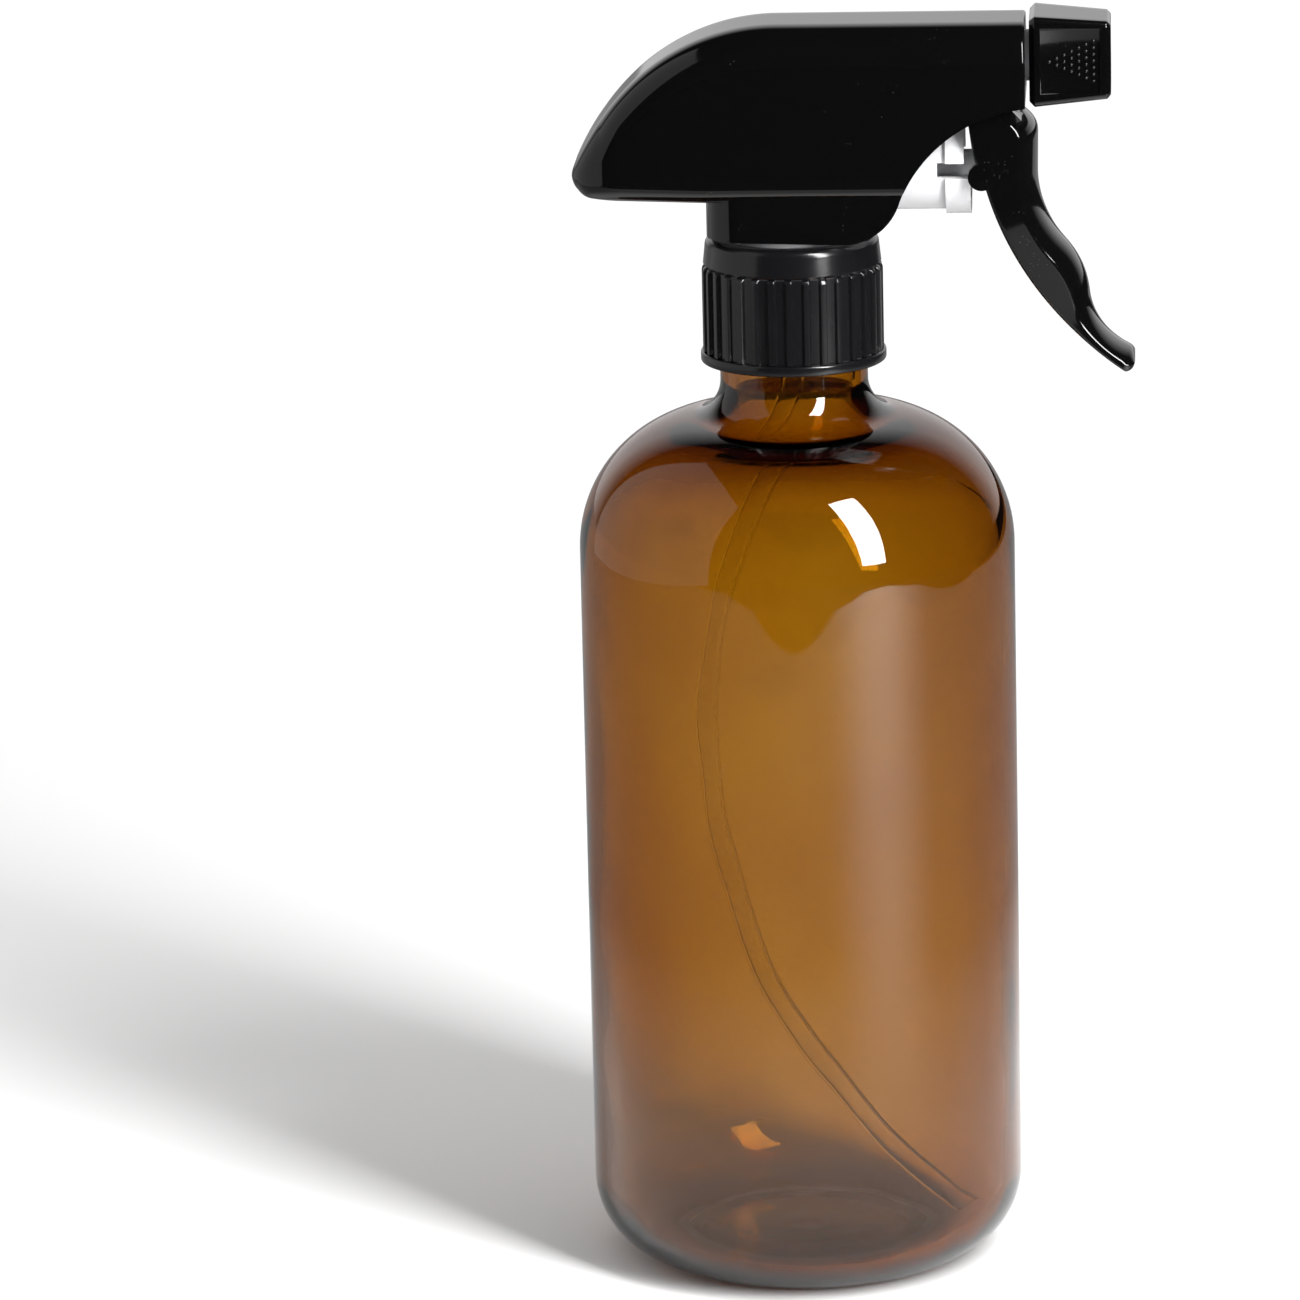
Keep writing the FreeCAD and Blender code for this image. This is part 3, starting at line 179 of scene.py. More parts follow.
def span(start: Point2, end: Point2, steps: int) -> list[Point2]:
    """Evenly spaced points along a straight line.

    Args:
        start: The first point.
        end: The last point.
        steps: How many stretches the line is cut into.

    Returns:
        The points from start to end, both included.
    """
    return [
        (start[0] + (end[0] - start[0]) * i / steps, start[1] + (end[1] - start[1]) * i / steps)
        for i in range(steps + 1)
    ]


def bend(start: Point2, end: Point2, radius: float, steps: int) -> list[Point2]:
    """Points along the short arc between two points.

    Args:
        start: The first point.
        end: The last point.
        radius: The arc's radius, positive where it turns left and negative where it turns right.
        steps: How many stretches the arc is cut into.

    Returns:
        The points from start to end, both included.
    """
    chord = Vector(end) - Vector(start)
    height = math.sqrt(radius * radius - chord.length_squared / 4)
    left = Vector((-chord.y, chord.x)).normalized()
    centre = (Vector(start) + Vector(end)) / 2 + left * math.copysign(height, radius)
    first = Vector(start) - centre
    last = Vector(end) - centre
    begin = math.degrees(math.atan2(first.y, first.x))
    turn = math.degrees(math.atan2(last.y, last.x)) - begin
    turn = (turn + 180) % 360 - 180
    return arc((centre.x, centre.y), abs(radius), begin, begin + turn, steps)


def along_line(line: Sequence[Point2], share: float) -> Vector:
    """The point a share of the way along a line of points, by length.

    Args:
        line: The points.
        share: The share, from nought to one.

    Returns:
        The point on the line.
    """
    lengths = [math.dist(here, there) for here, there in zip(line, line[1:])]
    left = share * sum(lengths)
    for here, there, length in zip(line, line[1:], lengths):
        if left <= length:
            return Vector(here).lerp(Vector(there), left / length)
        left -= length
    return Vector(line[-1])


def rounded_ring(
    turn: float, low: float, high: float, half: float, low_radius: float, high_radius: float
) -> Point2:
    """A point on a rectangle with rounded corners.

    Args:
        turn: The point's share of the way round, an eighth of it for each side and each corner.
        low: The bottom side's height.
        high: The top side's height.
        half: Half the rectangle's width.
        low_radius: The radius of the bottom corners.
        high_radius: The radius of the top corners.

    Returns:
        The point's place across and up.
    """
    stretch, share = divmod(turn * 8, 1)
    upper, lower = half - high_radius, half - low_radius
    sides = {
        0: ((half, low + low_radius), (half, high - high_radius)),
        2: ((upper, high), (-upper, high)),
        4: ((-half, high - high_radius), (-half, low + low_radius)),
        6: ((-lower, low), (lower, low)),
    }
    corners = {
        1: (upper, high - high_radius, high_radius, 0),
        3: (-upper, high - high_radius, high_radius, 90),
        5: (-lower, low + low_radius, low_radius, 180),
        7: (lower, low + low_radius, low_radius, 270),
    }
    if stretch in sides:
        first, last = sides[stretch]
        return first[0] + (last[0] - first[0]) * share, first[1] + (last[1] - first[1]) * share
    across, up, radius, begin = corners[stretch]
    angle = math.radians(begin + 90 * share)
    return across + radius * math.cos(angle), up + radius * math.sin(angle)


def joined_line(*runs: Iterable[Point2]) -> list[Point2]:
    """Joins runs of points into one line.

    Args:
        runs: The runs, in turn.

    Returns:
        Their points one after the other, with points that repeat left out.
    """
    line: list[Point2] = []
    for run in runs:
        for point in run:
            if not line or math.dist(line[-1], point) > TINY:
                line.append(point)
    return line


def new_point(name: str, place: Sequence[float]) -> bpy.types.Object:
    """A mesh object that holds one vertex, selected and in edit mode.

    Args:
        name: The object's name.
        place: Where the vertex is.

    Returns:
        The new object, whose origin is the frame's.
    """
    deselect()
    bpy.ops.mesh.primitive_plane_add(size=MM, location=(0, 0, 0))
    piece = bpy.context.object
    piece.name = name
    piece.data.name = name
    bpy.ops.object.mode_set(mode="EDIT")
    bpy.ops.mesh.select_all(action="SELECT")
    bpy.ops.mesh.merge(type="CENTER")
    bpy.ops.transform.translate(value=Vector(place))
    return piece


def trace(name: str, points: Sequence[Sequence[float]]) -> bpy.types.Object:
    """An open line of edges through points, left in edit mode with its last vertex selected.

    Args:
        name: The object's name.
        points: The points, in turn.

    Returns:
        The new object.
    """
    piece = new_point(name, points[0])
    for here, there in zip(points, points[1:]):
        step = Vector(there) - Vector(here)
        bpy.ops.mesh.extrude_region_move(TRANSFORM_OT_translate={"value": step})
    return piece


def tidy_mesh(piece: bpy.types.Object) -> None:
    """Merges doubled vertices and points every face outwards, then leaves edit mode.

    Args:
        piece: The closed piece.
    """
    if piece.mode != "EDIT":
        pick(piece)
        bpy.ops.object.mode_set(mode="EDIT")
    bpy.ops.mesh.select_all(action="SELECT")
    bpy.ops.mesh.remove_doubles(threshold=MERGE_GAP)
    bpy.ops.mesh.normals_make_consistent(inside=False)
    bpy.ops.object.mode_set(mode="OBJECT")


def lathe(name: str, profile: Sequence[Point2], steps: int) -> bpy.types.Object:
    """A round piece spun from its profile about the vertical axis.

    Args:
        name: The piece's name.
        profile: (radius, height) points.
        steps: How many faces go round.

    Returns:
        The closed, smooth-shaded piece.
    """
    piece = trace(name, [(radius, 0, height) for radius, height in profile])
    bpy.ops.mesh.select_all(action="SELECT")
    bpy.ops.mesh.spin(steps=steps, angle=FULL_TURN, center=(0, 0, 0), axis=(0, 0, 1))
    tidy_mesh(piece)
    pick(piece)
    bpy.ops.object.shade_smooth()
    return piece


def move_vertices(piece: bpy.types.Object, moved: Callable[[Vector], Vector]) -> None:
    """Moves every vertex of a piece.

    Args:
        piece: The piece.
        moved: Works out a vertex's new place from where it is.
    """
    for vertex in piece.data.vertices:
        vertex.co = moved(vertex.co.copy())
    piece.data.update()


def loft(
    name: str, stations: int, steps: int, placed: Callable[[float, float, float], Vector]
) -> bpy.types.Object:
    """A closed piece of rings, each point put in place by a function.

    Args:
        name: The piece's name.
        stations: How many stretches it has from end to end.
        steps: How many points go round a ring.
        placed: Gives a point's place from its share of the way along, round, and out from the middle.

    Returns:
        The piece, its faces pointing outwards.
    """
    piece = lathe(name, joined_line([(0, 0)], span((1, 0), (1, 1), stations), [(0, 1)]), steps)

    def moved(point: Vector) -> Vector:
        """Where a point of the plain drum goes."""
        turn = round(math.atan2(point.y, point.x) / FULL_TURN * steps) / steps % 1.0
        return placed(point.z, turn, math.hypot(point.x, point.y))

    move_vertices(piece, moved)
    tidy_mesh(piece)
    return piece


def prism(name: str, outline: Sequence[Point2], run: Run, low: float, high: float) -> bpy.types.Object:
    """A solid with the same outline from one end to the other.

    Args:
        name: The piece's name.
        outline: The corners of the outline, in turn.
        run: Which way the solid runs.
        low: Where it starts along the run.
        high: Where it ends.

    Returns:
        The closed solid.
    """
    piece = trace(name, [run.place(point, low) for point in [*outline, outline[0]]])
    bpy.ops.mesh.select_all(action="SELECT")
    bpy.ops.mesh.remove_doubles(threshold=MERGE_GAP)
    bpy.ops.mesh.edge_face_add()
    bpy.ops.mesh.extrude_region_move(TRANSFORM_OT_translate={"value": (high - low) * Vector(run.value)})
    tidy_mesh(piece)
    return piece


def turned_forward(piece: bpy.types.Object, height: float) -> bpy.types.Object:
    """Lays an upright round piece along +X.

    Args:
        piece: The piece, spun about the vertical axis.
        height: The height of its axis once it lies down.

    Returns:
        The same piece.
    """
    move_vertices(piece, lambda point: Vector((point.z, point.y, height - point.x)))
    tidy_mesh(piece)
    return piece


def apply_tool(piece: bpy.types.Object, tool: bpy.types.Object, join: Join) -> None:
    """Joins a tool solid to a piece or cuts it away, and uses the tool up.

    Args:
        piece: The piece that is worked on.
        tool: The solid that is used up.
        join: What it does to the piece.
    """
    modifier = piece.modifiers.new("tool", "BOOLEAN")
    modifier.operation = join.value
    modifier.solver = "EXACT"
    modifier.object = tool
    pick(piece)
    bpy.ops.object.modifier_apply(modifier=modifier.name)
    bpy.data.objects.remove(tool)


def ease_edges(piece: bpy.types.Object, width: float, angle: float = 50.0) -> None:
    """Breaks the sharp edges of a finished solid and shades what is round smoothly.

    Args:
        piece: The solid.
        width: How wide the broken edges are.
        angle: The least angle in degrees between two faces that counts as sharp.
    """
    pick(piece)
    modifier = piece.modifiers.new("eased", "BEVEL")
    modifier.width = width
    modifier.segments = 2
    modifier.limit_method = "ANGLE"
    modifier.angle_limit = math.radians(angle)
    bpy.ops.object.modifier_apply(modifier=modifier.name)
    bpy.ops.object.shade_smooth_by_angle(angle=math.radians(SMOOTH_ANGLE))


# ---------------------------------------------------------------- finishes


def clear_nodes(name: str) -> tuple[bpy.types.Material, bpy.types.NodeTree]:
    """A material whose node tree holds only its output.

    Args:
        name: The material's name.

    Returns:
        The material and its node tree.
    """
    material = bpy.data.materials.new(name)
    material.use_nodes = True
    tree = material.node_tree
    for node in list(tree.nodes):
        if node.type != "OUTPUT_MATERIAL":
            tree.nodes.remove(node)
    return material, tree


def fill_in(node: bpy.types.Node, values: dict) -> None:
    """Sets a node's inputs by their names."""
    for name, value in values.items():
        node.inputs[name].default_value = value


def feed(tree: bpy.types.NodeTree, value: Socket, entry: bpy.types.NodeSocket) -> None:
    """Sets an input to a number, or links a socket to it.

    Args:
        tree: Where the nodes are.
        value: The number or the socket.
        entry: The input.
    """
    if isinstance(value, bpy.types.NodeSocket):
        tree.links.new(value, entry)
    else:
        entry.default_value = value


def maths(
    tree: bpy.types.NodeTree, operation: str, first: Socket, second: Socket = 0.0
) -> bpy.types.NodeSocket:
    """Adds a Math node.

    Args:
        tree: Where the node goes.
        operation: What it does.
        first: Its first value, a number or a socket.
        second: Its second value, if it uses one.

    Returns:
        The node's result.
    """
    node = tree.nodes.new("ShaderNodeMath")
    node.operation = operation
    feed(tree, first, node.inputs[0])
    feed(tree, second, node.inputs[1])
    return node.outputs[0]


def ranged(
    tree: bpy.types.NodeTree,
    value: bpy.types.NodeSocket,
    start: Point2,
    stop: Point2,
    smooth: bool = False,
) -> bpy.types.NodeSocket:
    """Adds a Map Range node.

    Args:
        tree: Where the node goes.
        value: What is mapped.
        start: A value and what it becomes.
        stop: Another value and what it becomes.
        smooth: Whether both ends are eased.

    Returns:
        The mapped value, which stays between the two results.
    """
    node = tree.nodes.new("ShaderNodeMapRange")
    node.interpolation_type = "SMOOTHSTEP" if smooth else "LINEAR"
    fill_in(node, {"From Min": start[0], "From Max": stop[0], "To Min": start[1], "To Max": stop[1]})
    tree.links.new(value, node.inputs["Value"])
    return node.outputs["Result"]


def mottled(
    tree: bpy.types.NodeTree,
    place: bpy.types.NodeSocket,
    scale: Socket,
    detail: float,
    distortion: float = 0.0,
) -> bpy.types.NodeSocket:
    """Adds a Noise Texture node.

    Args:
        tree: Where the node goes.
        place: The coordinates that it reads.
        scale: How fine the pattern is, a number or a socket.
        detail: How many finer layers it has.
        distortion: How much it is twisted.

    Returns:
        The pattern's value.
    """
    node = tree.nodes.new("ShaderNodeTexNoise")
    fill_in(node, {"Detail": detail, "Distortion": distortion})
    feed(tree, scale, node.inputs["Scale"])
    tree.links.new(place, node.inputs["Vector"])
    return node.outputs["Fac"]


def mixed(
    tree: bpy.types.NodeTree,
    share: bpy.types.NodeSocket,
    first: bpy.types.NodeSocket,
    second: bpy.types.NodeSocket,
) -> bpy.types.NodeSocket:
    """Adds a Mix Shader node.

    Args:
        tree: Where the node goes.
        share: How much of the second shader shows.
        first: The first shader.
        second: The second shader.

    Returns:
        The mixed shader.
    """
    node = tree.nodes.new("ShaderNodeMixShader")
    for value, entry in zip((share, first, second), node.inputs):
        tree.links.new(value, entry)
    return node.outputs["Shader"]


@dataclass(frozen=True)
class Handling:
    """The shared effect of fine moulding grain, smears and settled dust."""

    name: str = "handled_surface"
    smear_scale: float = 90.0
    smear_detail: float = 3.0
    smear_distortion: float = 1.5
    speck_scale: float = 1500.0
    speck_radius: float = 0.11
    patch_scale: float = 150.0
    patch_detail: float = 2.0
    patch_level: float = 0.64
    dust_colour: Colour = (0.35, 0.34, 0.32)
    grain_detail: float = 2.0

    def group(self) -> bpy.types.NodeTree:
        """The effect as a node group, built once.

        Returns:
            A node group that puts out a colour, a roughness and a height.
        """
        found = bpy.data.node_groups.get(self.name)
        if found is not None:
            return found
        group = bpy.data.node_groups.new(self.name, "ShaderNodeTree")
        self.add_sockets(group, "INPUT", ("Colour", "Roughness", "Smear", "Dust", "Grain scale"))
        self.add_sockets(group, "OUTPUT", ("Colour", "Roughness", "Height"))
        nodes, links = group.nodes, group.links
        given = nodes.new("NodeGroupInput").outputs
        result = nodes.new("NodeGroupOutput").inputs
        place = nodes.new("ShaderNodeTexCoord").outputs["Object"]
        smears = mottled(group, place, self.smear_scale, self.smear_detail, self.smear_distortion)
        roughness = maths(group, "ADD", given["Roughness"], maths(group, "MULTIPLY", smears, given["Smear"]))
        specks = nodes.new("ShaderNodeTexVoronoi")
        specks.inputs["Scale"].default_value = self.speck_scale
        links.new(place, specks.inputs["Vector"])
        near = maths(group, "LESS_THAN", specks.outputs["Distance"], self.speck_radius)
        patches = mottled(group, place, self.patch_scale, self.patch_detail)
        thick = maths(group, "GREATER_THAN", patches, self.patch_level)
        dust = maths(group, "MULTIPLY", maths(group, "MULTIPLY", near, thick), given["Dust"])
        colour = nodes.new("ShaderNodeMix")
        colour.data_type = "RGBA"
        colour.inputs["B"].default_value = (*self.dust_colour, 1)
        links.new(dust, colour.inputs["Factor"])
        links.new(given["Colour"], colour.inputs["A"])
        links.new(colour.outputs["Result"], result["Colour"])
        links.new(roughness, result["Roughness"])
        links.new(mottled(group, place, given["Grain scale"], self.grain_detail), result["Height"])
        return group

    @staticmethod
    def add_sockets(group: bpy.types.NodeTree, side: str, names: Sequence[str]) -> None:
        """Gives the group sockets on one side.

        Args:
            group: The node group.
            side: INPUT or OUTPUT.
            names: The sockets' names.
        """
        for name in names:
            kind = "NodeSocketColor" if name == "Colour" else "NodeSocketFloat"
            group.interface.new_socket(name, in_out=side, socket_type=kind)


@dataclass(frozen=True)
class Finish:
    """A named finish, whose material is made once."""

    name: str

    def material(self) -> bpy.types.Material:
        """The finish as a node material.

        Returns:
            The material, new or found.
        """
        found = bpy.data.materials.get(self.name)
        if found is None:
            found, tree = clear_nodes(self.name)
            self.add_nodes(tree)
        return found

    def add_nodes(self, tree: bpy.types.NodeTree) -> None:
        """Adds the finish's nodes to a material's tree."""
        raise NotImplementedError


@dataclass(frozen=True)
class Plastic(Finish):
    """A moulded plastic, rubber or metal finish."""

    colour: Colour
    roughness: float = 0.3
    smear: float = 0.05
    dust: float = 0.0
    grain_scale: float = 1500.0
    grain_depth: float = 0.02
    grain_height: float = 0.1 * MM
    metallic: float = 0.0
    transmission: float = 0.0
    subsurface: float = 0.0
    scatter_depth: float = 2 * MM
    ior: float = 1.5

    def add_nodes(self, tree: bpy.types.NodeTree) -> None:
        """Adds the finish's nodes, with the dust only where it has any.

        Args:
            tree: The material's nodes.
        """
        nodes, links = tree.nodes, tree.links
        shader = nodes.new("ShaderNodeBsdfPrincipled")
        fill_in(shader, {
            "Base Color": (*self.colour, 1),
            "Metallic": self.metallic,
            "Transmission Weight": self.transmission,
            "Subsurface Weight": self.subsurface,
            "Subsurface Radius": (1.0, 1.0, 1.0),
            "Subsurface Scale": self.scatter_depth,
            "IOR": self.ior,
        })
        effect = nodes.new("ShaderNodeGroup")
        effect.node_tree = Handling().group()
        fill_in(effect, {
            "Colour": (*self.colour, 1),
            "Roughness": self.roughness,
            "Smear": self.smear,
            "Dust": self.dust,
            "Grain scale": self.grain_scale,
        })
        bump = nodes.new("ShaderNodeBump")
        fill_in(bump, {"Strength": self.grain_depth, "Distance": self.grain_height})
        if self.dust:
            links.new(effect.outputs["Colour"], shader.inputs["Base Color"])
        links.new(effect.outputs["Roughness"], shader.inputs["Roughness"])
        links.new(effect.outputs["Height"], bump.inputs["Height"])
        links.new(bump.outputs["Normal"], shader.inputs["Normal"])
        links.new(shader.outputs["BSDF"], nodes["Material Output"].inputs["Surface"])


@dataclass(frozen=True)
class Glass(Finish):
    """Coloured bottle glass, whose colour deepens with the thickness that light crosses."""

    tint: Colour = (0.97, 0.94, 0.88)
    passed: Colour = (0.793, 0.640, 0.004)
    density: float = 1130.0
    ior: float = 1.52
    ripple: float = 0.12
    ripple_scale: float = 55.0
    ripple_detail: float = 1.0
    ripple_stretch: tuple[float, float, float] = (1.0, 1.0, 0.45)
    ripple_height: float = 1 * MM

    def add_nodes(self, tree: bpy.types.NodeTree) -> None:
        """Adds the finish's nodes.

        Args:
            tree: The material's nodes.
        """
        nodes, links = tree.nodes, tree.links
        output = nodes["Material Output"]
        shader = nodes.new("ShaderNodeBsdfPrincipled")
        fill_in(shader, {
            "Base Color": (*self.tint, 1),
            "Transmission Weight": 1.0,
            "Roughness": 0.0,
            "IOR": self.ior,
        })
        flow = nodes.new("ShaderNodeMapping")
        flow.inputs["Scale"].default_value = self.ripple_stretch
        links.new(nodes.new("ShaderNodeTexCoord").outputs["Object"], flow.inputs["Vector"])
        bump = nodes.new("ShaderNodeBump")
        fill_in(bump, {"Strength": self.ripple, "Distance": self.ripple_height})
        ripples = mottled(tree, flow.outputs["Vector"], self.ripple_scale, self.ripple_detail)
        links.new(ripples, bump.inputs["Height"])
        links.new(bump.outputs["Normal"], shader.inputs["Normal"])
        depth = nodes.new("ShaderNodeVolumeAbsorption")
        fill_in(depth, {"Color": (*self.passed, 1), "Density": self.density})
        links.new(shader.outputs["BSDF"], output.inputs["Surface"])
        links.new(depth.outputs["Volume"], output.inputs["Volume"])


AMBER = Glass("amber_bottle_glass")
GLOSS_BLACK = Plastic("gloss_black_moulding", (0.0015, 0.0015, 0.0015), 0.05, 0.05, 0.12, 900.0, 0.01)
SATIN_BLACK = Plastic("satin_black_moulding", (0.004, 0.004, 0.0045), 0.15, 0.08, 0.10, 2200.0, 0.03)
NATURAL = Plastic("natural_moulding", (0.62, 0.62, 0.63), 0.35, 0.10, subsurface=0.3)
TUBE = Plastic("natural_tube", (0.97, 0.97, 0.95), 0.12, 0.05, transmission=1.0, ior=1.1)
SEAL_WHITE = Plastic("white_foam_seal", (0.78, 0.78, 0.75), 0.8, 0.10, grain_scale=3000, grain_depth=0.4)
RUBBER = Plastic("clear_silicone", (0.72, 0.72, 0.70), 0.45, 0.10, subsurface=0.4)
PISTON = Plastic("soft_piston_moulding", (0.82, 0.83, 0.85), 0.4, 0.08, subsurface=0.4)
STEEL = Plastic("drawn_steel", (0.62, 0.62, 0.60), 0.24, 0.15, metallic=1.0, grain_scale=4000)

NODE_FINISH = {
    "neck_gasket": SEAL_WHITE,
    "valve_stem": NATURAL,
    "vent_valve": RUBBER,
    "dip_tube": TUBE,
    "inlet_ball": STEEL,
    "outlet_ball": STEEL,
    "pump_body": NATURAL,
    "piston": PISTON,
    "piston_rod": NATURAL,
    "return_spring": STEEL,
    "outlet_spring": STEEL,
    "spinner": NATURAL,
    "nozzle_seal": RUBBER,
    "nozzle": GLOSS_BLACK,
    "orifice_insert": SATIN_BLACK,
    "trigger": GLOSS_BLACK,
    "pivot_pin": STEEL,
    "shroud": GLOSS_BLACK,
    "closure": SATIN_BLACK,
}


def dress(piece: bpy.types.Object, finish: Finish) -> None:
    """Gives the whole piece one finish."""
    piece.data.materials.clear()
    piece.data.materials.append(finish.material())


# ---------------------------------------------------------------- bottle


@dataclass
class Bottle:
    """The blown amber bottle with its screw finish."""

    wall: float = 2.6 * MM
    wall_height: float = 127.5 * MM
    heel: float = 14.0 * MM
    shoulder: float = 23.6 * MM
    neck: float = 12.75 * MM
    neck_fillet: float = 6.2 * MM
    shoulder_inside: float = 19.0 * MM
    bend_inside: float = 8.0 * MM
    bore: float = 10.2 * MM
    floor: float = 3.4 * MM
    push_up: float = 1.6 * MM
    ring_width: float = 3.0 * MM
    ring_flat: float = 0.8
    ring_rise: float = 0.25 * MM
    lip: float = 0.8 * MM
    thread_pitch: float = 4.233 * MM
    thread_height: float = 1.05 * MM
    thread_drop: float = 8.3 * MM
    thread_half: float = 1.0 * MM
    thread_turns: float = 1.25
    thread_flank: float = 1.9
    thread_fade: float = 0.08
    threaded_height: float = 14.0 * MM
    round_steps: int = 192
    unevenness: float = 0.32 * MM
    even_height: float = 16.0 * MM
    lumps_around: float = 38.0
    lumps_along: float = 24.0
    fine_lumps: float = 3.1
    fine_share: float = 0.4

    def __post_init__(self) -> None:
        """Takes the overall sizes from the frame."""
        low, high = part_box("bottle")
        self.radius = high.y
        self.rim = high.z
        self.inner_radius = self.radius - self.wall

    def half_profile(
        self, wall: float, radius: float, fillet: float, neck: float
    ) -> tuple[list[Point2], float]:
        """The shoulder and neck bend of the outside or the inside.

        Args:
            wall: The radius of the straight wall below.
            radius: The radius of the shoulder.
            fillet: The radius of the bend into the neck.
            neck: The radius of the neck's straight part.

        Returns:
            Points from the top of the straight wall to the foot of the neck, and that foot's height.
        """
        centre = wall - radius
        aside = neck + fillet - centre
        rise = math.sqrt((radius + fillet) ** 2 - aside ** 2)
        turn = math.degrees(math.atan2(rise, aside))
        line = joined_line(
            arc((centre, self.wall_height), radius, 0, turn, 28),
            arc((neck + fillet, self.wall_height + rise), fillet, 180 + turn, 180, 12),
        )
        return line, self.wall_height + rise

    def profile(self) -> list[Point2]:
        """The glass's section from the middle of its base over the rim to the middle of its floor.

        Returns:
            (radius, height) points.
        """
        ring = self.radius - self.heel
        heel_inside = self.heel - self.wall
        outside, neck_foot = self.half_profile(self.radius, self.shoulder, self.neck_fillet, self.neck)
        inside, bore_foot = self.half_profile(
            self.inner_radius, self.shoulder_inside, self.bend_inside, self.bore
        )
        crest = self.rim - self.lip
        bore_edge = self.bore + self.lip
        return joined_line(
            span((0, self.push_up), (ring - 2 * self.ring_width, self.push_up), 6),
            span((ring - 2 * self.ring_width, self.push_up), (ring - self.ring_width, self.ring_rise), 4),
            span((ring - self.ring_flat * self.ring_width, 0), (ring, 0), 3),
            arc((ring, self.heel), self.heel, -90, 0, 20),
            span((self.radius, self.heel), (self.radius, self.wall_height), 40),
            outside,
            span((self.neck, neck_foot), (self.neck, crest), 40),
            arc((self.neck - self.lip, crest), self.lip, 0, 90, 4),
            arc((bore_edge, crest), self.lip, 90, 180, 4),
            span((self.bore, crest), (self.bore, bore_foot), 8),
            reversed(inside),
            span((self.inner_radius, self.wall_height), (self.inner_radius, self.floor + heel_inside), 40),
            arc((ring, self.floor + heel_inside), heel_inside, 0, -90, 16),
            span((ring, self.floor), (0, self.floor + self.push_up), 10),
        )

    def threaded(self, place: Vector) -> Vector:
        """Lifts the outside of the neck into the screw thread.

        Args:
            place: Where the point is.

        Returns:
            Its new place.
        """
        radius = math.hypot(place.x, place.y)
        if radius < self.neck - self.lip / 2 or place.z < self.rim - self.threaded_height:
            return place
        turns = (math.atan2(place.y, place.x) / FULL_TURN) % 1.0
        start = self.rim - self.thread_drop
        best = 0.0
        for lap in range(2):
            along = turns + lap
            if along > self.thread_turns:
                continue
            off = abs(place.z - start - along * self.thread_pitch)
            fade = min(1.0, along / self.thread_fade, (self.thread_turns - along) / self.thread_fade)
            flank = clamped(self.thread_flank - self.thread_flank * off / self.thread_half)
            best = max(best, fade * flank)
        return pushed_out(place, best * self.thread_height)

    def blown(self, place: Vector) -> Vector:
        """Makes the inside wall a little uneven, as blown glass is.

        Args:
            place: Where the point is.

        Returns:
            Its new place.
        """
        radius = math.hypot(place.x, place.y)
        outside = self.radius - self.wall / 2
        if place.z > self.rim - self.even_height or place.z < self.floor - TINY:
            return place
        if radius < TINY or radius > outside or self.on_outside(radius, place.z):
            return place
        around, along = self.lumps_around, self.lumps_along
        where = Vector((place.x * around, place.y * around, place.z * along))
        fine = self.fine_share * self.unevenness * noise.noise(where * self.fine_lumps)
        return pushed_out(place, self.unevenness * noise.noise(where) + fine)

    def on_outside(self, radius: float, height: float) -> bool:
        """Whether a point of the shoulder, neck or heel lies on the outer surface.

        Args:
            radius: How far the point is from the bottle's axis.
            height: Its height.

        Returns:
            True where it is on the outside.
        """
        centre = self.radius - self.shoulder
        if height > self.wall_height:
            reach = math.hypot(radius - centre, height - self.wall_height)
            return reach > self.shoulder - self.wall / 2
        if height < self.heel:
            reach = math.hypot(radius - (self.radius - self.heel), height - self.heel)
            return reach > self.heel - self.wall / 2 and radius > self.radius - self.heel
        return False

    def build(self) -> bpy.types.Object:
        """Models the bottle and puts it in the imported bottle's place.

        Returns:
            The finished piece.
        """
        piece = lathe("amber_bottle", self.profile(), self.round_steps)
        move_vertices(piece, self.threaded)
        move_vertices(piece, self.blown)
        dress(piece, AMBER)
        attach(piece, "bottle")
        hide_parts("bottle")
        return piece


# ---------------------------------------------------------------- closure


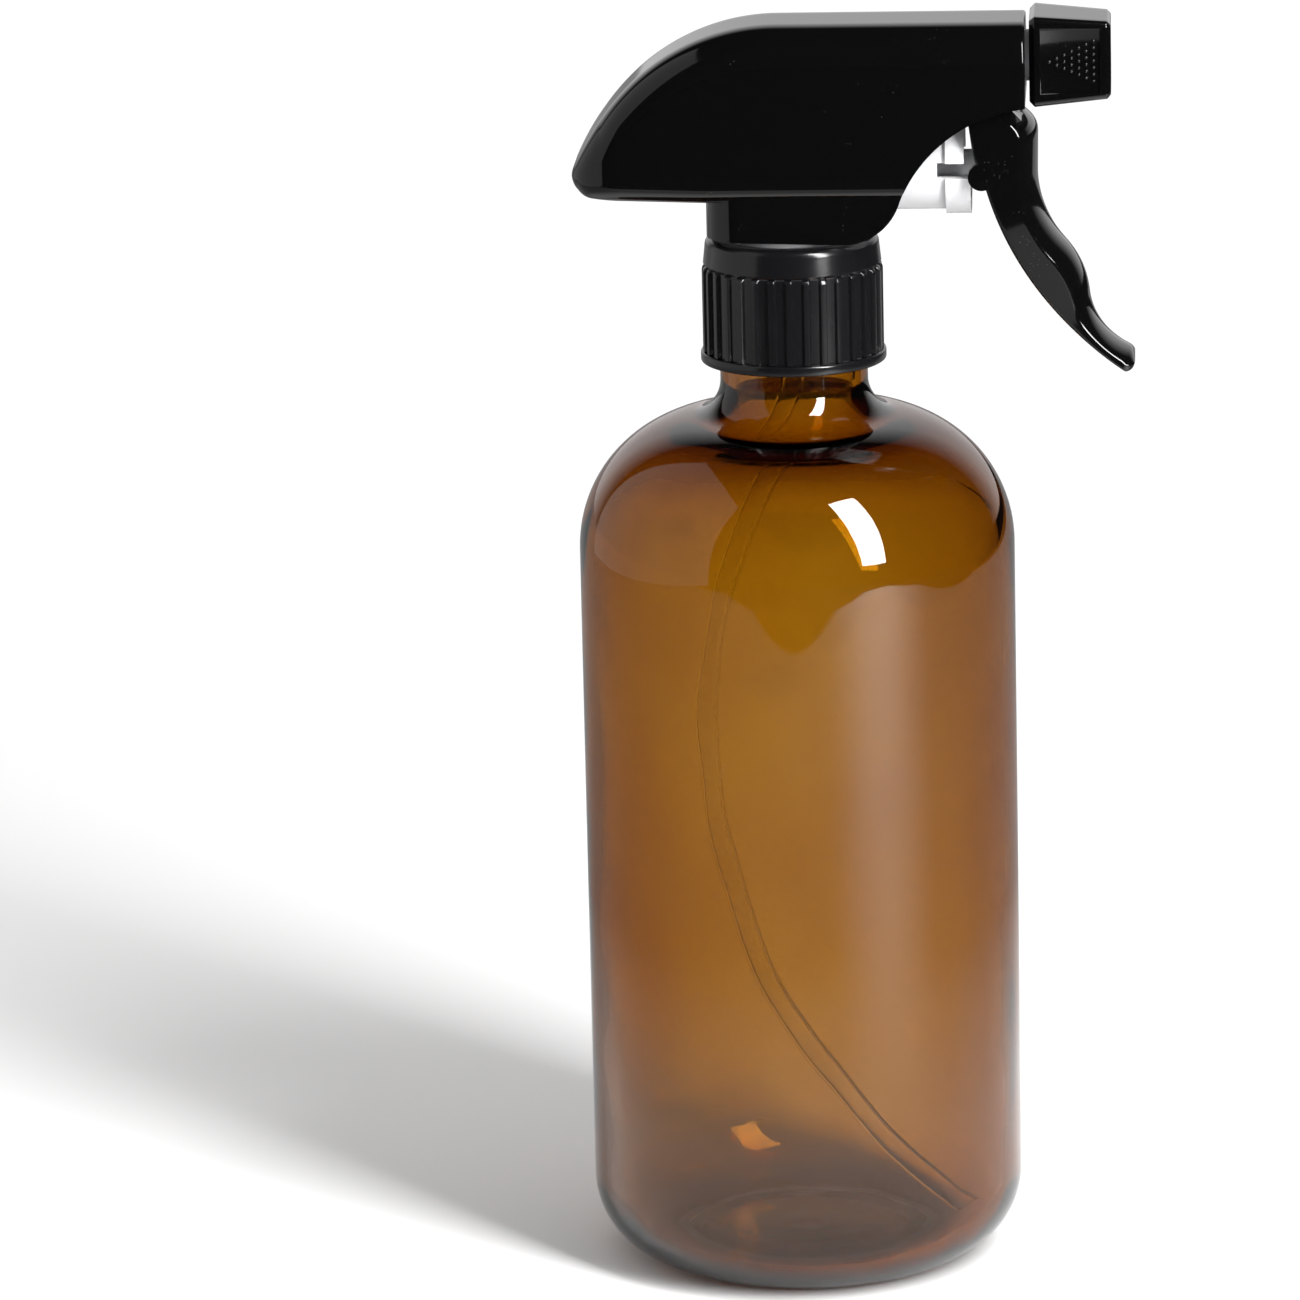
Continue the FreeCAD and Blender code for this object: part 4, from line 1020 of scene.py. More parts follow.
@dataclass
class Closure:
    """The ribbed screw collar, its heights measured from the bottle's rim."""

    bottom: float = -9.2 * MM
    top: float = 12.5 * MM
    flange: float = 16.0 * MM
    flange_top: float = -7.4 * MM
    wall: float = 15.0 * MM
    band: float = 15.35 * MM
    rim_rounding: float = 1.3 * MM
    edge: float = 0.35 * MM
    edge_trim: float = 0.3
    rib_top: float = 7.5 * MM
    rib_fine: float = 2.0 * MM
    band_slope: float = 0.5 * MM
    rib_height: float = 0.6 * MM
    rib_half: float = 0.65 * MM
    rib_flank: float = 0.42
    rib_end: float = 1.6
    rib_count: int = 32
    steps_per_rib: int = 20
    bore: float = 14.15 * MM
    ledge_hole: float = 11.6 * MM
    ledge_bottom: float = 3.7 * MM
    ledge_top: float = 5.3 * MM
    upper_bore: float = 13.4 * MM
    lip_hole: float = 12.0 * MM
    lip_depth: float = 0.8 * MM
    thread_pitch: float = 4.233 * MM
    thread_middle: float = -6.2 * MM
    thread_height: float = 1.1 * MM
    thread_half: float = 0.75 * MM
    thread_flank: float = 1.8
    thread_fade: float = 0.06
    bore_band: float = 0.1 * MM
    smooth_angle: float = 40.0

    def __post_init__(self) -> None:
        """Finds the bottle's rim from the frame."""
        self.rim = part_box("bottle")[1].z

    def profile(self) -> list[Point2]:
        """The collar's section, from the foot of its flange up the outside and down the bore.

        Returns:
            (radius, height) points.
        """
        rounding = self.rim_rounding
        trim = self.edge_trim * self.edge
        fine = self.rib_top - self.rib_fine
        band_foot = self.rib_top + self.band_slope
        line = joined_line(
            arc((self.flange - self.edge, self.bottom + self.edge), self.edge, -90, 0, 4),
            arc((self.flange - self.edge, self.flange_top - self.edge), self.edge, 0, 90, 4),
            [(self.wall + trim, self.flange_top)],
            span((self.wall, self.flange_top + trim), (self.wall, fine), 10),
            span((self.wall, fine), (self.wall, self.rib_top), 14),
            span((self.wall, self.rib_top), (self.band, band_foot), 4),
            span((self.band, band_foot), (self.wall, self.top - rounding), 6),
            arc((self.wall - rounding, self.top - rounding), rounding, 0, 90, 8),
            [(self.lip_hole, self.top), (self.lip_hole, self.top - self.lip_depth)],
            [(self.upper_bore, self.top - self.lip_depth), (self.upper_bore, self.ledge_top)],
            [(self.ledge_hole, self.ledge_top), (self.ledge_hole, self.ledge_bottom)],
            span((self.bore, self.ledge_bottom), (self.bore, self.bottom), 48),
        )
        return [(radius, self.rim + height) for radius, height in [*line, line[0]]]

    def ribbed(self, place: Vector) -> Vector:
        """Raises the grip's ribs outside and the thread inside.

        Args:
            place: Where the point is.

        Returns:
            Its new place.
        """
        radius = math.hypot(place.x, place.y)
        height = place.z - self.rim
        turns = math.atan2(place.y, place.x) / FULL_TURN
        raised = 0.0
        if radius > self.wall - TINY and self.flange_top < height < self.rib_top - TINY:
            off = abs((turns * self.rib_count + 0.5) % 1.0 - 0.5) / self.rib_count * FULL_TURN * self.wall
            side = clamped((self.rib_half - off) / (self.rib_flank * self.rib_half))
            end = clamped((self.rib_top - height) / (self.rib_end * self.rib_half))
            raised = self.rib_height * math.sqrt(1 - (1 - side) ** 2) * math.sqrt(1 - (1 - end) ** 2)
        elif abs(radius - self.bore) < self.bore_band and height < self.ledge_bottom - TINY:
            along = turns % 1.0
            off = abs(height - self.thread_middle - along * self.thread_pitch) / self.thread_half
            fade = min(1.0, along / self.thread_fade, (1 - along) / self.thread_fade)
            raised = -self.thread_height * fade * clamped(self.thread_flank - self.thread_flank * off)
        return pushed_out(place, raised)

    def build(self) -> bpy.types.Object:
        """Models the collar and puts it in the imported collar's place.

        Returns:
            The finished piece.
        """
        piece = lathe("ribbed_closure", self.profile(), self.rib_count * self.steps_per_rib)
        move_vertices(piece, self.ribbed)
        pick(piece)
        bpy.ops.object.shade_smooth_by_angle(angle=math.radians(self.smooth_angle))
        dress(piece, SATIN_BLACK)
        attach(piece, "collar")
        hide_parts("closure")
        return piece


# ---------------------------------------------------------------- shroud


@dataclass
class Shroud:
    """The gloss cover shell over the pump, in millimetres above the bottle's rim until it is placed."""

    half_width: float = 12.0
    wall: float = 1.2
    front: float = 40.45
    top: float = 50.0
    crown_place: float = -2.0
    crown: float = 36.0
    nape_place: float = -27.0
    nape: float = 45.0
    tail_place: float = -36.9
    tail: float = 3.6
    plan_centre: float = -28.6
    plan_rounding: float = 9.0
    ledge: float = 20.0
    skirt_back: float = -14.35
    skirt_half: float = 11.55
    skirt_corner: float = 6.5
    top_rounding: float = 6.6
    low_rounding: float = 2.8
    edge: float = 0.5
    eased: float = 0.22
    lip: float = 36.1
    jaw: Point2 = (9.2, 12.85)
    throat: Point2 = (19.0, 20.3)
    jaw_bend: float = -10.2
    throat_bend: float = 25.5
    skirt_bottom: float = 13.5
    skirt_slope: float = 0.2
    skirt_blank: tuple[float, float, float] = (30.0, 8.0, 23.5)
    skirt_hollow: tuple[float, float, float] = (37.0, 5.0, 25.0)
    tool_margin: float = 6.0
    tool_half: float = 15.0
    barrel_height: float = 43.3
    barrel_run: Point2 = (35.0, 45.0)
    hole: float = 5.4
    height_share: float = 0.49
    width_share: float = 0.9
    rim_stations: int = 5
    stations: int = 125
    steps: int = 96
    hole_steps: int = 64

    def __post_init__(self) -> None:
        """Works out the centres of the arcs that make the side line."""
        self.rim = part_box("bottle")[1].z
        self.crown_centre = Vector((self.crown_place, self.top - self.crown))
        nape = Vector((self.nape_place, self.on_arc(self.crown_centre, self.crown, self.nape_place)))
        self.nape_centre = nape + (self.crown_centre - nape) * self.nape / self.crown
        tail = Vector((self.tail_place, self.on_arc(self.nape_centre, self.nape, self.tail_place)))
        self.tail_centre = tail + (self.nape_centre - tail) * self.tail / self.nape

    @staticmethod
    def on_arc(centre: Vector, radius: float, x: float) -> float:
        """The height of an arc's upper half at x."""
        return centre.y + math.sqrt(max(0.0, radius * radius - (x - centre.x) ** 2))

    def upper(self, x: float, inset: float) -> float:
        """The height of the top line.

        Args:
            x: Where along the shell.
            inset: How far the line is moved inwards.

        Returns:
            The height above the rim.
        """
        crown, nape = self.crown_centre, self.nape_centre
        nape_start = crown.x + (self.nape_place - crown.x) * (1 - inset / self.crown)
        tail_start = nape.x + (self.tail_place - nape.x) * (1 - inset / self.nape)
        if x > self.crown_place:
            return self.top - inset
        if x > nape_start:
            return self.on_arc(crown, self.crown - inset, x)
        if x > tail_start:
            return self.on_arc(nape, self.nape - inset, x)
        return self.on_arc(self.tail_centre, self.tail - inset, x)

    def lower(self, x: float, inset: float) -> float:
        """The height of the underside.

        Args:
            x: Where along the shell.
            inset: How far the line is moved inwards.

        Returns:
            The height above the rim.
        """
        if x < self.tail_centre.x:
            return 2 * self.tail_centre.y - self.on_arc(self.tail_centre, self.tail - inset, x)
        foot = self.tail_centre.y - self.tail
        share = min(1.0, (x - self.tail_centre.x) / (self.skirt_back - self.tail_centre.x))
        return foot + (self.ledge - foot) * share + inset

    def half(self, x: float, inset: float) -> float:
        """Half the shell's width.

        Args:
            x: Where along the shell.
            inset: How far the side is moved inwards.

        Returns:
            Half the width.
        """
        if x > self.plan_centre:
            return self.half_width - inset
        reach = self.plan_rounding - inset
        aside = math.sqrt(max(0.0, reach ** 2 - (x - self.plan_centre) ** 2))
        return self.half_width - self.plan_rounding + aside

    def shell(self, name: str, inset: float) -> bpy.types.Object:
        """The cover's body without its skirt, moved inwards by inset.

        Args:
            name: The piece's name.
            inset: How far inside the outer surface it runs.

        Returns:
            The closed solid.
        """
        start = self.tail_centre.x - self.tail + inset
        length = self.front - inset - start
        rim_share = self.rim_stations / self.stations

        def placed(along: float, turn: float, out: float) -> Vector:
            """Puts a point of the loft in its place.

            Args:
                along: Its share of the way from end to end.
                turn: Its share of the way round.
                out: Its share of the way out from the middle.

            Returns:
                The point in the frame.
            """
            rim_turn = max(0.0, (along - 1 + rim_share) / rim_share) * math.pi / 2
            body = min(1.0, along / (1 - rim_share))
            x = start + (length - self.edge) * body * body + self.edge * math.sin(rim_turn)
            trim = inset + self.edge * (1 - math.cos(rim_turn))
            high, low, half = self.upper(x, trim), self.lower(x, trim), self.half(x, trim)
            most = min(self.height_share * max(high - low, TINY), self.width_share * half)
            top_radius = min(self.top_rounding - trim, most)
            low_radius = min(self.low_rounding - trim, most)
            across, up = rounded_ring(turn, low, high, half, low_radius, top_radius)
            middle = (high + low) / 2
            return Vector((x, out * across, self.rim / MM + middle + out * (up - middle))) * MM

        return loft(name, self.stations, self.steps, placed)

    def skirt(self, name: str, inset: float, reach: tuple[float, float, float]) -> bpy.types.Object:
        """The skirt round the pump's foot, or its hollow, as a solid with rounded rear corners.

        Args:
            name: The piece's name.
            inset: How far inside the skirt's outer back it starts.
            reach: How far forward it goes, its lowest height and its top.

        Returns:
            The closed solid.
        """
        front, bottom, height = reach
        back = self.skirt_back + inset
        half = self.skirt_half if not inset else self.half_width - self.wall
        corner = self.skirt_corner - inset
        outline = joined_line(
            [(front, half)],
            arc((back + corner, half - corner), corner, 90, 180, 12),
            arc((back + corner, corner - half), corner, 180, 270, 12),
            [(front, -half)],
        )
        base = self.rim / MM
        return prism(name, scaled(outline), Run.UP, (base + bottom) * MM, (base + height) * MM)

    def throat_tool(self) -> bpy.types.Object:
        """What is cut away under the jaw and the throat, up to the lip over the trigger.

        Returns:
            The closed solid.
        """
        back, front = self.skirt_back - self.tool_margin, self.front + self.tool_margin
        outline = joined_line(
            [(back, 0), (front, 0), (front, self.lip)],
            bend((self.front, self.lip), self.throat, self.throat_bend, 28),
            bend(self.throat, self.jaw, self.jaw_bend, 16),
            [(self.skirt_back, self.skirt_bottom), (back, self.skirt_bottom + self.skirt_slope)],
        )
        half = self.tool_half * MM
        return prism("throat_tool", scaled(outline, (0.0, self.rim)), Run.ACROSS, -half, half)

    def build(self) -> bpy.types.Object:
        """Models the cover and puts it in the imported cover's place.

        Returns:
            The finished piece.
        """
        piece = self.shell("cover_shroud", 0)
        apply_tool(piece, self.skirt("skirt", 0, self.skirt_blank), Join.ADD)
        apply_tool(piece, self.shell("shroud_hollow", self.wall), Join.CUT)
        apply_tool(piece, self.skirt("skirt_hollow", self.wall, self.skirt_hollow), Join.CUT)
        apply_tool(piece, self.throat_tool(), Join.CUT)
        back, front = self.barrel_run
        barrel = [(0, back), (self.hole, back), (self.hole, front), (0, front)]
        hole = lathe("barrel_hole", scaled(barrel), self.hole_steps)
        apply_tool(piece, turned_forward(hole, self.rim + self.barrel_height * MM), Join.CUT)
        ease_edges(piece, self.eased * MM)
        dress(piece, GLOSS_BLACK)
        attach(piece, "head")
        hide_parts("shroud")
        return piece


# ---------------------------------------------------------------- trigger


@dataclass
class Trigger:
    """The finger lever, in millimetres above the bottle's rim until it is placed."""

    yoke_half: float = 10.5
    yoke_bottom: float = 19.0
    tip_half: float = 7.3
    tip_height: float = -13.7
    tip_corner: float = 3.0
    cheek: float = 1.4
    front_wall: float = 1.6
    crown: float = 2.6
    edge: float = 0.9
    back_edge: float = 0.7
    eased: float = 0.15
    length: float = 48.0
    tip_crowding: float = 1.35
    width_taper: float = 1.5
    channel_reach: float = 0.90
    channel_back: float = -8.0
    channel_least: float = 0.3
    channel_crown: float = 0.4
    channel_lift: float = 1.5
    channel_lift_power: int = 20
    neck: tuple[Point2, ...] = ((30.3, 37.2), (31.2, 30.0), (39.8, 33.9), (36.7, 37.2))
    room: tuple[Point2, ...] = (
        (26.0, 20.6), (35.6, 20.6), (36.6, 22.8), (38.3, 33.0), (38.3, 44.0), (26.0, 44.0)
    )
    skin: float = 0.02
    pivot: Point2 = (33.5, 37.2)
    pivot_boss: float = 3.2
    pin: float = 1.25
    pin_reach: float = 12.0
    bar: Point2 = (32.9, 24.9)
    bar_boss: float = 2.3
    bar_boss_height: float = 24.1
    bar_slot: float = 1.35
    bar_slot_low: float = 23.16
    bar_slot_reach: float = 10.0
    stations: int = 120
    steps: int = 96

    def __post_init__(self) -> None:
        """Finds the bottle's rim from the frame."""
        self.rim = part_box("bottle")[1].z
        toe = bend((57.6, -7.3), (57.1, -10.7), -1.75, 16)
        self.front_line = joined_line(
            [(39.9, 34.3)],
            bend((41.4, 32.9), (42.5, 30.3), -3.4, 6),
            bend((42.4, 23.6), (47.2, 11.1), 18.7, 20),
            bend((47.2, 11.1), (51.1, 2.3), -15.5, 16),
            bend((51.1, 2.3), (57.6, -7.3), 12.2, 16),
            toe[:9],
        )
        self.back_line = joined_line(
            [(30.6, 34.3), (31.5, 27.5), (33.6, 21.9)],
            bend((33.6, 21.9), (57.1, -10.7), 60.0, 40),
            reversed(toe[8:]),
        )

    def half(self, height: float, from_tip: float) -> float:
        """Half the lever's width at a height, rounded off near the tip.

        Args:
            height: The height above the rim.
            from_tip: How far along the lever the tip is.

        Returns:
            Half the width.
        """
        share = (height - self.tip_height) / (self.yoke_bottom - self.tip_height)
        share = clamped(share) ** self.width_taper
        half = self.tip_half + (self.yoke_half - self.tip_half) * share * share * (3 - 2 * share)
        short = max(0.0, self.tip_corner - from_tip)
        return half - self.tip_corner + math.sqrt(self.tip_corner ** 2 - short ** 2)

    def lever(self, name: str, channel: bool) -> bpy.types.Object:
        """The lever as a solid with a crowned front, or the channel up its back.

        Args:
            name: The piece's name.
            channel: Whether it is the channel.

        Returns:
            The closed solid.
        """
        inset = self.cheek if channel else 0.0

        def placed(along: float, turn: float, out: float) -> Vector:
            """Puts a point of the loft in its place.

            Args:
                along: Its share of the way from end to end.
                turn: Its share of the way round.
                out: Its share of the way out from the middle.

            Returns:
                The point in the frame.
            """
            share = along * self.channel_reach if channel else 1 - (1 - along) ** self.tip_crowding
            front = along_line(self.front_line, share)
            back = along_line(self.back_line, share)
            ahead = front - back
            depth = max(ahead.length, TINY)
            ahead = ahead / depth
            crown = min(self.crown, 0.5 * depth)
            half = self.half((front.y + back.y) / 2, self.length * (1 - share)) - inset
            low, high = 0.0, depth - crown
            if channel:
                low = self.channel_back
                high = max(self.channel_least, depth - self.channel_crown * crown - self.front_wall)
            corner = min(self.edge, 0.4 * max(high - low, TINY))
            across, up = rounded_ring(turn, low, high, half, self.back_edge * corner, corner)
            if not channel:
                up += crown * (up / max(high, TINY)) ** 2 * (1 - (across / half) ** 2)
            middle = (low + high) / 2
            point = back + ahead * (middle + out * (up - middle))
            lift = self.channel_lift * (1 - along) ** self.channel_lift_power if channel else 0.0
            return Vector((point.x, out * across, self.rim / MM + point.y + lift)) * MM

        return loft(name, self.stations, self.steps, placed)

    def rod(self, name: str, centre: Point2, radius: float, half: float) -> bpy.types.Object:
        """A round solid across the lever."""
        circle = arc((centre[0] * MM, self.rim + centre[1] * MM), radius * MM, 0, 354, 59)
        return prism(name, circle, Run.ACROSS, -half * MM, half * MM)

    def slab(self, name: str, outline: Sequence[Point2], half: float) -> bpy.types.Object:
        """A solid across the lever with an outline of its own."""
        line = scaled(outline, (0.0, self.rim))
        return prism(name, line, Run.ACROSS, -half * MM, half * MM)

    def build(self) -> bpy.types.Object:
        """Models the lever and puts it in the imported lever's place.

        Returns:
            The finished piece.
        """
        piece = self.lever("finger_trigger", channel=False)
        apply_tool(piece, self.slab("neck", self.neck, self.yoke_half - self.skin), Join.ADD)
        boss_half = self.yoke_half - 2 * self.skin
        apply_tool(piece, self.rod("pivot_boss", self.pivot, self.pivot_boss, boss_half), Join.ADD)
        bar_boss = (self.bar[0], self.bar_boss_height)
        boss_half = self.yoke_half + self.skin
        apply_tool(piece, self.rod("bar_boss", bar_boss, self.bar_boss, boss_half), Join.ADD)
        apply_tool(piece, self.lever("channel", channel=True), Join.CUT)
        apply_tool(piece, self.slab("yoke_room", self.room, self.yoke_half - self.cheek), Join.CUT)
        apply_tool(piece, self.rod("pin_hole", self.pivot, self.pin, self.pin_reach), Join.CUT)
        slot = joined_line(
            arc(self.bar, self.bar_slot, 0, 180, 16),
            arc((self.bar[0], self.bar_slot_low), self.bar_slot, 180, 360, 16),
        )
        apply_tool(piece, self.slab("bar_slot", slot, self.bar_slot_reach), Join.CUT)
        ease_edges(piece, self.eased * MM)
        dress(piece, GLOSS_BLACK)
        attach(piece, "trigger")
        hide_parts("trigger")
        return piece


# ---------------------------------------------------------------- nozzle


@dataclass
class Nozzle:
    """The square turning nozzle, in millimetres along the barrel until it is placed."""

    back: float = 41.15
    front: float = 55.0
    back_half: float = 7.85
    front_half: float = 6.65
    corner: float = 1.0
    back_edge: float = 0.9
    front_edge: float = 0.6
    panel_margin: float = 1.9
    panel_depth: float = 0.45
    mouth: float = 6.0
    bore: float = 4.46
    bead_bore: float = 4.9
    floor: float = 51.5
    hole: float = 1.6
    insert: float = 2.6
    dish: float = 4.8
    mouth_depth: float = 1.6
    bead_back: float = 44.3
    bead_front: float = 45.9
    insert_back: float = 52.8
    dish_back: float = 54.0
    overshoot: float = 1.0
    panel_slope: float = 0.3
    panel_reach: float = 0.7
    eased: float = 0.15
    eased_angle: float = 35.0
    stations: int = 60
    steps: int = 64
    hollow_steps: int = 96
    dot: float = 0.34
    dot_columns: int = 7
    dot_start: float = 3.4
    dot_pitch: float = 1.25
    dot_row: float = 1.15
    dot_margin: float = 2.4

    def __post_init__(self) -> None:
        """Finds the barrel's axis from the frame."""
        low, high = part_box("nozzle")
        self.height = (low.z + high.z) / 2

    def half(self, x: float) -> float:
        """Half the nozzle's width at x."""
        share = (x - self.back) / (self.front - self.back)
        return self.back_half + (self.front_half - self.back_half) * share

    def blank(self) -> bpy.types.Object:
        """The tapered square body with eased ends.

        Returns:
            The closed solid.
        """

        def placed(along: float, turn: float, out: float) -> Vector:
            """Puts a point of the loft in its place.

            Args:
                along: Its share of the way from end to end.
                turn: Its share of the way round.
                out: Its share of the way out from the middle.

            Returns:
                The point in the frame.
            """
            x = self.back + (self.front - self.back) * along
            trim = max(0.0, self.back_edge - (x - self.back))
            trim += max(0.0, self.front_edge - (self.front - x))
            half = self.half(x) - trim
            across, up = rounded_ring(turn, -half, half, half, self.corner, self.corner)
            return Vector((x * MM, out * across * MM, self.height + out * up * MM))

        return loft("square_nozzle", self.stations, self.steps, placed)

    def panel_tool(self, side: int) -> bpy.types.Object:
        """What is cut away to sink the panel in one side.

        Args:
            side: -1 for the near side, 1 for the far one.

        Returns:
            The closed solid.
        """
        back, front = self.back + self.panel_margin, self.front - self.panel_margin
        outline = [
            (back, self.half(back) - self.panel_depth),
            (front, self.half(front) - self.panel_depth),
            (front + self.panel_slope, self.half(front) + self.overshoot),
            (back - self.panel_slope, self.half(back) + self.overshoot),
        ]
        line = scaled((x, side * y) for x, y in outline)
        reach = (self.front_half - self.panel_margin + self.panel_reach) * MM
        return prism("panel_tool", line, Run.UP, self.height - reach, self.height + reach)

    def hollow(self) -> bpy.types.Object:
        """The bore from behind, the floor's hole, and the dish in front.

        Returns:
            The closed solid.
        """
        behind, ahead = self.back - self.overshoot, self.front + self.overshoot
        mouth_end = self.back + self.mouth_depth
        line = [
            (0, behind), (self.mouth, behind), (self.mouth, mouth_end), (self.bore, mouth_end),
            (self.bore, self.bead_back), (self.bead_bore, self.bead_back),
            (self.bead_bore, self.bead_front), (self.bore, self.bead_front),
            (self.bore, self.floor), (self.hole, self.floor),
            (self.hole, self.insert_back), (self.insert, self.insert_back), (self.insert, self.dish_back),
            (self.dish, self.front), (self.dish, ahead), (0, ahead),
        ]
        piece = lathe("nozzle_hollow", scaled(line), self.hollow_steps)
        return turned_forward(piece, self.height)

    def dots(self, side: int) -> list[Vector]:
        """Where the raised dots of a side's spray mark stand.

        Args:
            side: -1 for the near side, which has a fan, or 1 for the far one, which has a jet.

        Returns:
            The places, in millimetres, with their heights above the barrel's axis.
        """
        places = []
        for column in range(self.dot_columns):
            x = self.back + self.dot_start + self.dot_pitch * column
            rows = column + 1 if side < 0 else 1
            for row in range(rows):
                up = (row - (rows - 1) / 2) * self.dot_row
                if abs(up) < self.half(x) - self.dot_margin:
                    places.append(Vector((x, side * (self.half(x) - self.panel_depth), up)))
        return places

    def build(self) -> bpy.types.Object:
        """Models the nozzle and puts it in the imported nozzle's place.

        Returns:
            The finished piece.
        """
        piece = self.blank()
        for side in (-1, 1):
            apply_tool(piece, self.panel_tool(side), Join.CUT)
        apply_tool(piece, self.hollow(), Join.CUT)
        ease_edges(piece, self.eased * MM, self.eased_angle)
        beads = []
        for side in (-1, 1):
            for spot in self.dots(side):
                deselect()
                bpy.ops.mesh.primitive_ico_sphere_add(
                    subdivisions=2,
                    radius=self.dot * MM,
                    location=(spot.x * MM, spot.y * MM, self.height + spot.z * MM),
                )
                bpy.ops.object.transform_apply(location=True)
                bpy.ops.object.shade_smooth()
                beads.append(bpy.context.object)
        pick(piece)
        for bead in beads:
            bead.select_set(True)
        bpy.ops.object.join()
        dress(piece, GLOSS_BLACK)
        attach(piece, "nozzle")
        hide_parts("nozzle")
        return piece


# ---------------------------------------------------------------- studio


@dataclass(frozen=True)
class Viewpoint:
    """Where the camera stands and how it is held."""

    azimuth: float = 2.6
    elevation: float = 15.47
    distance: float = 1.424
    aim_height: float = 0.085
    lens: float = 225.6
    pan: float = -0.0183
    tilt: float = 0.0161
    roll: float = -0.0177
    sensor: float = 36.0
    nearest: float = 0.05
    furthest: float = 30.0

    def axes(self) -> tuple[Vector, Vector, Vector]:
        """The camera's own directions.

        Returns:
            Its right, up and back.
        """
        around = math.radians(self.azimuth)
        back = direction(self.azimuth, self.elevation)
        right = Vector((math.cos(around), math.sin(around), 0))
        up = back.cross(right)
        ahead = -back
        turned_right = math.cos(self.pan) * right - math.sin(self.pan) * ahead
        turned_ahead = math.sin(self.pan) * right + math.cos(self.pan) * ahead
        tilted_up = math.cos(self.tilt) * up - math.sin(self.tilt) * turned_ahead
        tilted_ahead = math.sin(self.tilt) * up + math.cos(self.tilt) * turned_ahead
        rolled_right = math.cos(self.roll) * turned_right + math.sin(self.roll) * tilted_up
        rolled_up = math.cos(self.roll) * tilted_up - math.sin(self.roll) * turned_right
        return rolled_right, rolled_up, -tilted_ahead

    def build(self) -> None:
        """Adds the camera and makes it the scene's."""
        place = Vector((0, 0, self.aim_height)) + self.distance * direction(self.azimuth, self.elevation)
        deselect()
        bpy.ops.object.camera_add(location=place)
        camera = bpy.context.object
        camera.name = "studio_camera"
        camera.matrix_world = Matrix.Translation(place) @ Matrix(self.axes()).transposed().to_4x4()
        camera.data.lens = self.lens
        camera.data.sensor_width = self.sensor
        camera.data.clip_start = self.nearest
        camera.data.clip_end = self.furthest
        bpy.context.scene.camera = camera


@dataclass(frozen=True)
class Softbox:
    """A rectangular lamp that faces a point on the object."""

    name: str
    azimuth: float
    elevation: float
    distance: float
    width: float
    height: float
    power: float
    aim_height: float

    def build(self) -> None:
        """Adds the lamp."""
        back = direction(self.azimuth, self.elevation)
        place = Vector((0, 0, self.aim_height)) + self.distance * back
        deselect()
        bpy.ops.object.light_add(type="AREA", location=place)
        lamp = bpy.context.object
        lamp.name = self.name
        lamp.rotation_euler = back.to_track_quat("Z", "Y").to_euler()
        lamp.data.shape = "RECTANGLE"
        lamp.data.size = self.width
        lamp.data.size_y = self.height
        lamp.data.energy = self.power


@dataclass(frozen=True)
class Card:
    """A glowing board that shows only in reflections."""

    name: str
    aside: float
    near: float
    far: float
    height: float
    glow: float

    def build(self) -> None:
        """Adds the board, upright on the table and square to +X."""
        low, high = 0.0, self.height
        sides = [(self.near, low), (self.far, low), (self.far, high), (self.near, high)]
        board = trace(self.name, [(self.aside, y, z) for y, z in sides])
        bpy.ops.mesh.select_all(action="SELECT")
        bpy.ops.mesh.edge_face_add()
        bpy.ops.object.mode_set(mode="OBJECT")
        material, tree = clear_nodes(self.name + "_glow")
        glow = tree.nodes.new("ShaderNodeEmission")
        glow.inputs["Strength"].default_value = self.glow
        tree.links.new(glow.outputs["Emission"], tree.nodes["Material Output"].inputs["Surface"])
        board.data.materials.append(material)
        board.visible_camera = False
        board.visible_diffuse = False
        board.visible_transmission = False
        board.visible_shadow = False


KEY_SOFTBOX = Softbox(
    "key_softbox",
    azimuth=42.5,
    elevation=33.0,
    distance=0.75,
    width=0.18,
    height=0.75,
    power=13.0,
    aim_height=0.13,
)
LEFT_BOARD = Card("left_board", aside=-0.6, near=-0.62, far=0.50, height=1.3, glow=0.55)


